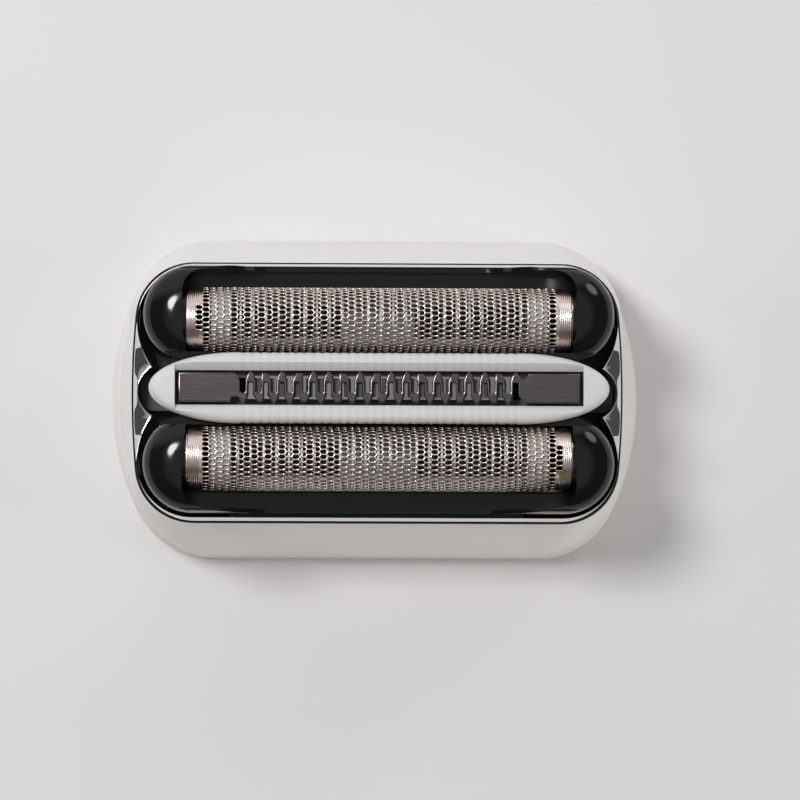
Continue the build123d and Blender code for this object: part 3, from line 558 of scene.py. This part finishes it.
def side_cut(low, high):
    """Block that lowers a frame's side, with a floor that swings up into the domes."""
    bm = bmesh.new()
    turn = math.radians(SIDE_TURN)
    vert = chain_to(bm, bm.verts.new((0, low, LIP_TOP)), (SIDE_FLAT, low, LIP_TOP))
    vert = chain_arc(bm, vert, (SIDE_FLAT, low, LIP_TOP + SIDE_HOLLOW), (0, -1, 0), turn, HOLLOW_STEPS)
    run = Vector((math.sin(turn), 0, -math.cos(turn)))
    centre = Vector((SIDE_FLAT, low, LIP_TOP + SIDE_HOLLOW)) + run * (SIDE_HOLLOW + SIDE_SWELL)
    vert = chain_arc(bm, vert, centre, (0, 1, 0), turn, SWELL_STEPS)
    vert = chain_to(bm, vert, (WINDOW_END + SIDE_PAST, low, vert.co.z))
    vert = chain_to(bm, vert, (WINDOW_END + SIDE_PAST, low, DOME_TOP + CUT_ABOVE))
    chain_to(bm, vert, (0, low, DOME_TOP + CUT_ABOVE))
    bmesh.ops.mirror(bm, geom=bm.verts[:] + bm.edges[:], merge_dist=MERGE, axis="X")
    drawn_out(bm, (0, high - low, 0))
    return bm


def half_round(bm, x_low, x_high, radius, bottom):
    """Bar with an arched top on straight sides, along the foil."""
    first = bm.verts.new((x_low, FOIL_PLACE + radius, bottom))
    vert = chain_to(bm, first, (x_low, FOIL_PLACE + radius, FOIL_AXIS))
    vert = chain_arc(bm, vert, (x_low, FOIL_PLACE, FOIL_AXIS), (1, 0, 0), math.pi, PLUG_STEPS)
    chain_to(bm, vert, (x_low, FOIL_PLACE - radius, bottom))
    made = bmesh.ops.extrude_face_region(bm, geom=[bm.faces.new(walk(first))])["geom"]
    bmesh.ops.translate(bm, verts=only_verts(made), vec=(x_high - x_low, 0, 0))


def lens_row(bm, height, inset, flute=0.0):
    """Quarter row with a long elliptical tip and a straight side, which may be fluted."""
    start = bm.verts.new((1, 0, height))
    last = chain_arc(bm, start, (0, 0, height), (0, 0, 1), math.pi / 2, TIP_STEPS)
    row = walk(start)
    for vert in row:
        vert.co.x = HOLDER_END - HOLDER_TIP_LENGTH + (HOLDER_TIP_LENGTH - inset) * vert.co.x
        vert.co.y = (WING_SIDE - inset) * vert.co.y
    for step in range(1, RIBS * RIB_STEPS + 1):
        dip = flute * (0.5 - 0.5 * math.cos(2 * math.pi * step / RIB_STEPS))
        last = chain_to(bm, last, ((HOLDER_END - HOLDER_TIP_LENGTH) * (1 - step / (RIBS * RIB_STEPS)),
                                   WING_SIDE - inset - dip, height))
        row.append(last)
    return row


def wing_room():
    """Block above the lowest place of the trimmer's wings, a little wider than they are."""
    bm = bmesh.new()
    lowest = WING_UNDER - WING_TRAVEL - WING_ROOM
    stitched(bm, [lens_row(bm, height, -WING_ROOM) for height in (lowest, DOME_TOP + CUT_ABOVE)])
    bmesh.ops.holes_fill(bm, edges=[edge for edge in bm.edges if edge.is_boundary])
    bmesh.ops.recalc_face_normals(bm, faces=bm.faces)
    return bm


for side, sign in SIDES.items():
    body = bmesh.new()
    arc_x = FRAME_END - FRAME_RADIUS
    turn = math.radians(DOME_TURN)
    shoulder = Vector((FRAME_END - DOME_EDGE, 0,
                       DOME_TOP - DOME_EDGE * math.cos(turn) - DOME_CROWN * (1 - math.cos(turn))))
    crown = shoulder - Vector((math.sin(turn), 0, math.cos(turn))) * (DOME_CROWN - DOME_EDGE)
    vert = body.verts.new((FRAME_END, 0, FRAME_BOTTOM))
    vert = chain_to(body, vert, (FRAME_END, 0, shoulder.z))
    vert = chain_arc(body, vert, shoulder, (0, -1, 0), math.pi / 2 - turn, DOME_STEPS)
    vert = chain_arc(body, vert, crown, (0, -1, 0), turn, DOME_STEPS)
    chain_to(body, vert, (arc_x, 0, DOME_TOP))
    bmesh.ops.spin(body, geom=body.verts[:] + body.edges[:], cent=(arc_x, 0, 0), axis=(0, 0, 1),
                   angle=math.pi / 2, steps=ROUND_STEPS)
    bmesh.ops.remove_doubles(body, verts=body.verts, dist=MERGE)
    rim = [edge for edge in body.edges if all(abs(vert.co.x - arc_x) < MERGE for vert in edge.verts)]
    drawn = bmesh.ops.extrude_edge_only(body, edges=rim)["geom"]
    bmesh.ops.translate(body, verts=only_verts(drawn), vec=(-arc_x, 0, 0))
    mirrored(body)
    bmesh.ops.remove_doubles(body, verts=body.verts, dist=MERGE)
    bmesh.ops.holes_fill(body, edges=[edge for edge in body.edges if edge.is_boundary])
    bmesh.ops.translate(body, verts=body.verts, vec=(0, FRAME_PLACE, 0))
    bmesh.ops.recalc_face_normals(body, faces=body.faces)
    slit_in, slit_out, lip_in = FOIL_PLACE - FOIL_SLIT, FOIL_PLACE + FOIL_SLIT, FRAME_OUTER - FRAME_LIP
    slit = bmesh.new()
    block(slit, (-FOIL_END, slit_in, FOIL_BOTTOM), (FOIL_END, slit_out, DOME_TOP + CUT_PAST))
    well = bmesh.new()
    block(well, (-WELL_END, FOIL_PLACE - WELL_SIDE, FRAME_BOTTOM - CUT_PAST),
          (WELL_END, FOIL_PLACE + WELL_SIDE, FOIL_BOTTOM + CUT_PAST))
    body = carved(body, [side_cut(FRAME_INNER - CUT_PAST, slit_in), side_cut(lip_in, FRAME_OUTER + CUT_PAST),
                         scoop(slit_in, lip_in), slit, well, wing_room()])
    for x_low, x_high in ((WELL_END, WINDOW_END + PLUG_ROOT), (-WINDOW_END - PLUG_ROOT, -WELL_END)):
        half_round(body, x_low, x_high, PLUG_RADIUS, FOIL_BOTTOM - PLUG_SINK)
    block(body, (-RAIL_END, lip_in, FRAME_BOTTOM), (RAIL_END, FRAME_OUTER + RAIL_OUT, FRAME_BOTTOM + RAIL_HEIGHT))
    if sign < 0:
        bmesh.ops.rotate(body, verts=body.verts, matrix=HALF_TURN)
    place_piece(body, "foil_frame_body_" + side, black_plastic, "foil_unit_" + side,
                ["foil_frame_" + side], smooth=32)

# Foils: two arched skins of thin nickel steel, electroformed with staggered six-sided holes.
# The ends stay plain but for fine grooves, and the straight flanks are held in the frame's slit.
FOIL_SHEET = 0.08
CELL_PITCH, CELL_ROW, CELL_WEB, CELL_POINT, CELL_ROUND = 0.742, 0.565, 0.066, 0.09, 0.1
CELL_COLUMNS, CELL_ROWS, HOLE_ROWS, PLAIN_COLUMNS, FIRST_HOLES = 28, 10, 9, 3, 2
CELL_MERGE, CUT_NEAR, HEM_NEAR, HEM_GAP = 0.01, 1e-5, 0.001, 0.02
END_BAND, END_GROOVE = 19.25, 0.22
FOIL_TRIM = 20.7
FOIL_SNIPS = ((FOIL_TRIM, 2.6, 0.22), (20.4, 3.9, 0.7))
ARC_REACH = FOIL_RADIUS * math.pi / 2

foil_steel, surface, pen = new_material("foil_steel", Metallic=1.0, Roughness=0.3)
place = pen.millimetres()
x = place.axes()[0]
groove = pen.maths("SINE", x * (2 * math.pi / END_GROOVE))
end_band = abs(x) > END_BAND
cloud = pen.noise(place, 0.35, 3.0)
feed(surface,
     Base_Color=pen.mix(cloud, (0.80, 0.665, 0.61, 1), (0.93, 0.80, 0.745, 1)),
     Roughness=0.2 + 0.16 * pen.noise(place, 1.1),
     Normal=pen.bump(groove * end_band, 0.5, 0.03))

for side, sign in SIDES.items():
    foil = bmesh.new()
    half_flat = CELL_PITCH / 2 - CELL_POINT
    tip = CELL_PITCH / 2 + CELL_POINT
    corners = [foil.verts.new(place) for place in (
        (tip, 0, 0), (half_flat, CELL_ROW / 2, 0), (-half_flat, CELL_ROW / 2, 0),
        (-tip, 0, 0), (-half_flat, -CELL_ROW / 2, 0), (half_flat, -CELL_ROW / 2, 0))]
    plain = foil.faces.new(corners)
    plain_cell = corners + list(plain.edges) + [plain]
    copy = bmesh.ops.duplicate(foil, geom=plain_cell)["geom"]
    pierced = [item for item in copy if isinstance(item, bmesh.types.BMFace)][0]
    bmesh.ops.inset_individual(foil, faces=[pierced], thickness=CELL_WEB, depth=0)
    bmesh.ops.bevel(foil, geom=list(pierced.verts), offset=CELL_ROUND, offset_type="OFFSET", segments=1, profile=0.5,
                    affect="VERTICES", material=-1)
    hole = min((face for face in foil.faces if face is not plain), key=lambda face: face.calc_center_median().length)
    bmesh.ops.delete(foil, geom=[hole], context="FACES_ONLY")
    pierced_cell = [item for item in (*foil.verts, *foil.edges, *foil.faces) if item not in plain_cell]
    columns = {}
    for odd in (0, 1):
        for deepest in (0, FIRST_HOLES, HOLE_ROWS):
            columns[odd, deepest] = []
            for row in range(-CELL_ROWS - odd, CELL_ROWS + 1):
                deep = row + 0.5 * odd
                cell = pierced_cell if deepest and abs(deep) <= deepest else plain_cell
                copy = bmesh.ops.duplicate(foil, geom=cell)["geom"]
                bmesh.ops.translate(foil, verts=only_verts(copy), vec=(0, deep * CELL_ROW, 0))
                columns[odd, deepest] += copy
    originals = foil.verts[:]
    for column in range(-CELL_COLUMNS, CELL_COLUMNS + 1):
        deepest = HOLE_ROWS if abs(column) <= CELL_COLUMNS - PLAIN_COLUMNS else 0
        if column == -CELL_COLUMNS + PLAIN_COLUMNS - 1:
            deepest = FIRST_HOLES
        copy = bmesh.ops.duplicate(foil, geom=columns[column % 2, deepest])["geom"]
        bmesh.ops.translate(foil, verts=only_verts(copy), vec=(column * CELL_PITCH, 0, 0))
    bmesh.ops.delete(foil, geom=originals, context="VERTS")
    bmesh.ops.remove_doubles(foil, verts=foil.verts, dist=CELL_MERGE)
    cuts = [((FOIL_TRIM, 0), (1, 0))]
    for way in (1, -1):
        cuts.append(((0, way * ARC_REACH), (0, way)))
        cuts += [((x, way * y), (1, way * lean)) for x, y, lean in FOIL_SNIPS]
    for spot, normal in cuts:
        for flip in (1, -1):
            bmesh.ops.bisect_plane(foil, geom=foil.verts[:] + foil.edges[:] + foil.faces[:], dist=CUT_NEAR,
                                   plane_co=(spot[0] * flip, spot[1], 0), plane_no=(normal[0] * flip, normal[1], 0),
                                   clear_outer=True)
    for vert in foil.verts:
        angle = vert.co.y / FOIL_RADIUS
        vert.co = (vert.co.x, FOIL_PLACE + FOIL_RADIUS * math.sin(angle), FOIL_AXIS + FOIL_RADIUS * math.cos(angle))
    hems = [edge for edge in foil.edges
            if edge.is_boundary and all(abs(vert.co.z - FOIL_AXIS) < HEM_NEAR for vert in edge.verts)]
    drawn = bmesh.ops.extrude_edge_only(foil, edges=hems)["geom"]
    for vert in only_verts(drawn):
        vert.co.z = FOIL_BOTTOM + HEM_GAP
    bmesh.ops.recalc_face_normals(foil, faces=foil.faces)
    if sign < 0:
        bmesh.ops.rotate(foil, verts=foil.verts, matrix=HALF_TURN)
    skin = place_piece(foil, "foil_skin_" + side, foil_steel, "foil_unit_" + side, ["foil_" + side],
                       smooth=40, outwards=False)
    sheet = skin.modifiers.new("sheet", "SOLIDIFY")
    sheet.thickness = FOIL_SHEET * MM
    sheet.offset = -1

# Trimmer holder: the pale lens between the foils, which carries the long-hair trimmer.
# Moulded in satin white plastic, with fine ribs across both wings and a slot along its middle.
HOLDER_TOP, WING_ROUND, WING_STEPS, WING_CHAMFER, RIB_DEPTH = 22.6, 0.85, 6, 0.1, 0.05
HOLDER_BOTTOM, HOLDER_BODY_END, HOLDER_BODY_SIDE, HOLDER_BODY_STEPS = 9.5, 22.6, 2.25, 16
HOLDER_FOOT_END, HOLDER_FOOT_SIDE, HOLDER_FOOT_TOP = 25.7, 1.9, 10.7
SLOT_END, SLOT_SIDE, SLOT_FLOOR, STEM_LAP = 21.87, 1.85, 20.4, 0.9
VALLEY_SIDE, VALLEY_DROP, VALLEY_PAST = 2.72, 0.65, 0.01
DRIVER_WELL, DRIVER_ROOM, FORK_ROOM, HOLDER_FLOOR = 1.13, 15.3, 3.6, 14.4

satin_plastic, surface, pen = new_material("satin_white_plastic", Roughness=0.42)
place = pen.millimetres()
x, y = place.axes()[:2]
straight = HOLDER_END - HOLDER_TIP_LENGTH
# The base colour is darker in the ribs' grooves and lighter on the ribs across the wings: painted shade and light.
rib_painted_shade = pen.maths("COSINE", x * (2 * math.pi * RIBS / straight)) * (abs(x) < straight) * (abs(y) > SLOT_SIDE)
feed(surface,
     Base_Color=pen.mix(0.5 + 0.5 * rib_painted_shade, (0.64, 0.64, 0.635, 1), (0.68, 0.68, 0.68, 1)),
     Roughness=0.38 + 0.12 * pen.noise(place, 1.5),
     Normal=pen.bump(pen.noise(place, 10.0), 0.1, 0.01))

holder = bmesh.new()
rows = [lens_row(holder, WING_UNDER, WING_CHAMFER), lens_row(holder, WING_UNDER + WING_CHAMFER, 0, RIB_DEPTH)]
for step in range(WING_STEPS + 1):
    angle = math.pi / 2 * step / WING_STEPS
    rows.append(lens_row(holder, HOLDER_TOP - WING_ROUND * (1 - math.sin(angle)), WING_ROUND * (1 - math.cos(angle)),
                         RIB_DEPTH * math.cos(angle)))
stitched(holder, rows)
bmesh.ops.holes_fill(holder, edges=[edge for edge in holder.edges if edge.is_boundary])
bmesh.ops.recalc_face_normals(holder, faces=holder.faces)
valley = bmesh.new()
corners = [valley.verts.new((-SLOT_END, y, z)) for y, z in (
    (-VALLEY_SIDE, HOLDER_TOP + VALLEY_PAST), (-SLOT_SIDE, HOLDER_TOP - VALLEY_DROP),
    (SLOT_SIDE, HOLDER_TOP - VALLEY_DROP), (VALLEY_SIDE, HOLDER_TOP + VALLEY_PAST))]
drawn = bmesh.ops.extrude_face_region(valley, geom=[valley.faces.new(corners)])["geom"]
bmesh.ops.translate(valley, verts=only_verts(drawn), vec=(2 * SLOT_END, 0, 0))
bmesh.ops.recalc_face_normals(valley, faces=valley.faces)
slot = bmesh.new()
block(slot, (-SLOT_END, -SLOT_SIDE, SLOT_FLOOR), (SLOT_END, SLOT_SIDE, HOLDER_TOP + CUT_PAST))
holder = carved(holder, [valley, slot])
place_piece(holder, "trimmer_wings", satin_plastic, "trimmer", [], smooth=35)

stem = bmesh.new()
arc_x = HOLDER_BODY_END - HOLDER_BODY_SIDE
vert = stem.verts.new((HOLDER_BODY_END, 0, HOLDER_BOTTOM))
vert = chain_arc(stem, vert, (arc_x, 0, HOLDER_BOTTOM), (0, 0, 1), math.pi / 2, HOLDER_BODY_STEPS)
chain_to(stem, vert, (0, HOLDER_BODY_SIDE, HOLDER_BOTTOM))
mirrored(stem)
drawn_out(stem, (0, 0, SLOT_FLOOR + STEM_LAP - HOLDER_BOTTOM))
rooms = []
for low, high in (((-SLOT_END, -SLOT_SIDE, SLOT_FLOOR), (SLOT_END, SLOT_SIDE, HOLDER_TOP)),
                  ((-DRIVER_ROOM, -DRIVER_WELL, HOLDER_FLOOR), (DRIVER_ROOM, DRIVER_WELL, HOLDER_TOP)),
                  ((-FORK_ROOM, -DRIVER_WELL, HOLDER_BOTTOM - CUT_PAST),
                   (FORK_ROOM, DRIVER_WELL, HOLDER_FLOOR + CUT_PAST))):
    room = bmesh.new()
    block(room, low, high)
    rooms.append(room)
stem = carved(stem, rooms)
for x_sign in (-1, 1):
    low, high = sorted((x_sign * HOLDER_FOOT_END, x_sign * arc_x))
    block(stem, (low, -HOLDER_FOOT_SIDE, HOLDER_BOTTOM), (high, HOLDER_FOOT_SIDE, HOLDER_FOOT_TOP))
place_piece(stem, "trimmer_stem", grey_plastic, "trimmer", ["trimmer_holder"], smooth=35)

# Trimmer blade and driver: a folded steel channel whose top is a ladder of cutting bars,
# and the grey slider under it with a fork for the shaver's drive pin.
blade_steel, surface, pen = new_material("blade_steel", Metallic=1.0, Roughness=0.35)
place = pen.millimetres()
strokes = pen.noise(pen.stretched(place, (1.5, 18.0, 6.0)), 1.0, 3.0)
feed(surface,
     Base_Color=pen.mix(strokes, (0.15, 0.147, 0.147, 1), (0.24, 0.235, 0.23, 1)),
     Roughness=0.3 + 0.2 * strokes)
dress_node("trimmer_blade", blade_steel)
dress_node("trimmer_driver", grey_plastic)

# Trimmer comb: thin steel stamped into a serpentine with teeth along both edges, then brushed.
# Its end plates and flat teeth are folded down at the sides, and it drops into the holder's slot.
COMB_END, COMB_SIDE, COMB_TOP, COMB_SHEET, COMB_SEAT = 21.5, 1.58, 22.4, 0.32, 20.4
COMB_PITCH, COMB_TEETH = 1.669, "PFPFPPFPFPPFPFPPFP"
COMB_SLOT, COMB_SLOT_REACH, COMB_SLOT_ROUND, COMB_TIP, COMB_FLAT = 0.49, 0.56, 0.2, 1.79, 1.54
COMB_FLAT_WIDTH, COMB_FLAT_SHIFT, COMB_TAB = 0.66, 0.2, 0.9
COMB_WAIST, COMB_SHOULDER, COMB_OGIVE = 0.75, 1.36, 0.36
COMB_NOTCH_FLOOR = COMB_SIDE - 0.55
COMB_NOTCH = ((0.3, COMB_SHOULDER), (0.55, COMB_NOTCH_FLOOR), (1.1, COMB_NOTCH_FLOOR), (1.4, COMB_SIDE))
COMB_FOLD_LENGTH = 5.6
COMB_EDGE, COMB_ROUND_STEPS = 0.155, 4
COMB_LEVEL = 1.0

comb_steel, surface, pen = new_material("comb_steel", Metallic=1.0, Roughness=0.3)
place = pen.millimetres()
strokes = pen.noise(pen.stretched(place, (0.5, 14.0, 14.0)), 1.0, 3.0)
feed(surface,
     Base_Color=pen.mix(strokes, (0.116, 0.1, 0.107, 1), (0.2, 0.175, 0.185, 1)),
     Roughness=0.12 + 0.2 * strokes,
     Normal=pen.bump(strokes, 0.15, 0.01))

comb = bmesh.new()
first = -(len(COMB_TEETH) - 1.5) / 2 * COMB_PITCH
half_slot = COMB_SLOT / 2
flat_teeth = []
top_edge = [(-COMB_END, COMB_SIDE), (first - COMB_PITCH, COMB_SIDE)]
for number, kind in enumerate(COMB_TEETH):
    tooth = first + number * COMB_PITCH
    slot_left, slot_right = tooth - COMB_PITCH / 2 - half_slot, tooth - COMB_PITCH / 2 + half_slot
    if number and COMB_TEETH[number - 1] == "P":
        top_edge.append((slot_left + (tooth - COMB_PITCH - slot_left) * COMB_OGIVE, COMB_SHOULDER))
    top_edge += [(slot_left, COMB_WAIST), (slot_left, -COMB_SLOT_REACH),
                 (slot_right, -COMB_SLOT_REACH), (slot_right, COMB_WAIST)]
    if kind == "P":
        top_edge += [(slot_right + (tooth - slot_right) * COMB_OGIVE, COMB_SHOULDER), (tooth, COMB_TIP)]
    else:
        middle = tooth + COMB_FLAT_SHIFT * (1 if len(flat_teeth) % 2 else -1)
        flat_teeth.append((middle - COMB_FLAT_WIDTH / 2, middle + COMB_FLAT_WIDTH / 2))
        top_edge += [(x, COMB_FLAT) for x in flat_teeth[-1]]
last = first + (len(COMB_TEETH) - 1) * COMB_PITCH
top_edge += [(last + run, y) for run, y in COMB_NOTCH]
top_edge.append((COMB_END, COMB_SIDE))
outline = [comb.verts.new((turn * x, turn * y, COMB_TOP)) for turn in (1, -1) for x, y in top_edge]
comb.faces.new(outline)
slot_bottoms = [vert for vert in outline if abs(abs(vert.co.y) - COMB_SLOT_REACH) < MERGE]
bmesh.ops.bevel(comb, geom=slot_bottoms, offset=COMB_SLOT_ROUND, offset_type="OFFSET", segments=COMB_ROUND_STEPS,
                profile=0.5, affect="VERTICES", material=-1, clamp_overlap=True)
drawn = bmesh.ops.extrude_face_region(comb, geom=comb.faces[:])["geom"]
bmesh.ops.translate(comb, verts=only_verts(drawn), vec=(0, 0, -COMB_SHEET))
bmesh.ops.recalc_face_normals(comb, faces=comb.faces)
brink = [edge for edge in comb.edges if all(abs(vert.co.z - COMB_TOP) < MERGE for vert in edge.verts)]
bmesh.ops.bevel(comb, geom=brink, offset=COMB_EDGE, offset_type="OFFSET", segments=COMB_ROUND_STEPS, profile=0.5,
                affect="EDGES", material=-1)
for x_sign in (-1, 1):
    for y_sign in (-1, 1):
        x_low, x_high = sorted((x_sign * COMB_END, x_sign * (COMB_END - COMB_FOLD_LENGTH)))
        y_low, y_high = sorted((y_sign * COMB_SIDE, y_sign * (COMB_SIDE - COMB_SHEET)))
        block(comb, (x_low, y_low, COMB_SEAT), (x_high, y_high, COMB_TOP - COMB_EDGE))
for left, right in flat_teeth:
    for turn in (1, -1):
        x_low, x_high = sorted((turn * left, turn * right))
        y_low, y_high = sorted((turn * (COMB_FLAT - COMB_SHEET), turn * COMB_FLAT))
        block(comb, (x_low, y_low, COMB_TOP - COMB_TAB), (x_high, y_high, COMB_TOP - COMB_EDGE))
place_piece(comb, "serpentine_comb", comb_steel, "trimmer", ["trimmer_comb"], smooth=50,
            outwards=False, level=COMB_LEVEL)

# Studio: a pale tabletop under a camera that looks almost straight down.
# One soft box hangs high on the left and another stands low behind the right corner. Dull fills
# light the sides, a small warm strip is in front, and the room has a pale wall behind.
FLOOR_COLOUR, FLOOR_REACH = (0.76, 0.755, 0.76, 1), 1500
ROOM_DIM, ROOM_CEILING, ROOM_WALL = 0.07, 0.36, 0.65
WALL_WAY, WALL_EDGE, CEILING_EDGE, ROOM_BLUR = (-0.25, 0.97), 0.55, 0.7, 0.18
CAMERA_DISTANCE = 0.65
CAMERA_LENS, CAMERA_SENSOR = 264.7, 36.0
CAMERA_TARGET = Vector((2.8, 0.0, 0.0)) * MM
CAMERA_LEAN_X, CAMERA_LEAN_Y, CAMERA_ROLL = -1.5, -3.3, 0.24
LAMPS = {
    "left_box": ((-0.38, 0.25, 0.89), 0.5, 0.12, 0.15, 1.25, (1.0, 0.99, 0.985), True),
    "rear_box": ((0.64, 0.64, 0.40), 0.6, 0.19, 0.22, 0.35, (1.0, 0.985, 0.97), True),
    "left_fill": ((-0.92, 0.1, 0.38), 0.6, 0.3, 0.14, 0.4, (1.0, 1.0, 1.0), False),
    "right_fill": ((0.96, -0.12, 0.3), 0.6, 0.3, 0.14, 0.9, (1.0, 0.97, 0.94), False),
    "front_fill": ((0.5, -0.8, 0.12), 0.6, 0.7, 0.14, 0.8, (1.0, 0.93, 0.85), False),
    "warm_strip": ((0.035, -0.95, 0.45), 0.6, 0.05, 0.09, 0.05, (1.0, 0.72, 0.3), True),
}

floor_paint, surface, pen = new_material("floor_paint", Roughness=0.6)
place = pen.millimetres()
feed(surface, Base_Color=pen.mix(pen.noise(place, 0.01), FLOOR_COLOUR, (0.79, 0.785, 0.79, 1)))
tabletop = bmesh.new()
bmesh.ops.create_grid(tabletop, x_segments=8, y_segments=8, size=FLOOR_REACH)
tabletop = mesh_object(tabletop, "floor")
tabletop.data.materials.append(floor_paint)

world = bpy.data.worlds.new("room")
world.use_nodes = True
sky = Shade(world.node_tree)
x, y, height = sky.node("TexCoord", None, None, "Generated").axes()
wall = ((x * WALL_WAY[0] + y * WALL_WAY[1] - WALL_EDGE) / ROOM_BLUR).clamp()
ceiling = ((height - CEILING_EDGE) / ROOM_BLUR).clamp()
glow = ROOM_DIM + wall * ROOM_WALL + ceiling * ROOM_CEILING
world.node_tree.links.new(glow.socket, world.node_tree.nodes["Background"].inputs["Color"])
bpy.context.scene.world = world
for name, (direction, distance, width, height, power, tint, mirrored_too) in LAMPS.items():
    lamp = bpy.data.lights.new(name, "AREA")
    lamp.shape = "ELLIPSE"
    lamp.size, lamp.size_y = width, height
    lamp.energy = power
    lamp.color = tint
    stand = bpy.data.objects.new(name, lamp)
    stand.visible_glossy = mirrored_too
    way = Vector(direction).normalized()
    stand.location = way * distance
    stand.rotation_euler = way.to_track_quat("Z", "Y").to_euler()
    bpy.context.scene.collection.objects.link(stand)

camera = bpy.data.cameras.new("camera")
camera.lens, camera.sensor_width = CAMERA_LENS, CAMERA_SENSOR
tripod = bpy.data.objects.new("camera", camera)
lean = Vector((math.tan(math.radians(CAMERA_LEAN_X)), math.tan(math.radians(CAMERA_LEAN_Y)), 1.0))
tripod.location = CAMERA_TARGET + lean * CAMERA_DISTANCE
back = lean.normalized()
right = (Vector((1, 0, 0)) - back * back.x).normalized()
upright = Matrix((right, back.cross(right), back)).transposed()
tripod.matrix_world = Matrix.Translation(tripod.location) @ (
    upright @ Matrix.Rotation(math.radians(CAMERA_ROLL), 3, "Z")).to_4x4()
bpy.context.scene.collection.objects.link(tripod)
bpy.context.scene.camera = tripod
bpy.context.scene.view_settings.view_transform = "Standard"
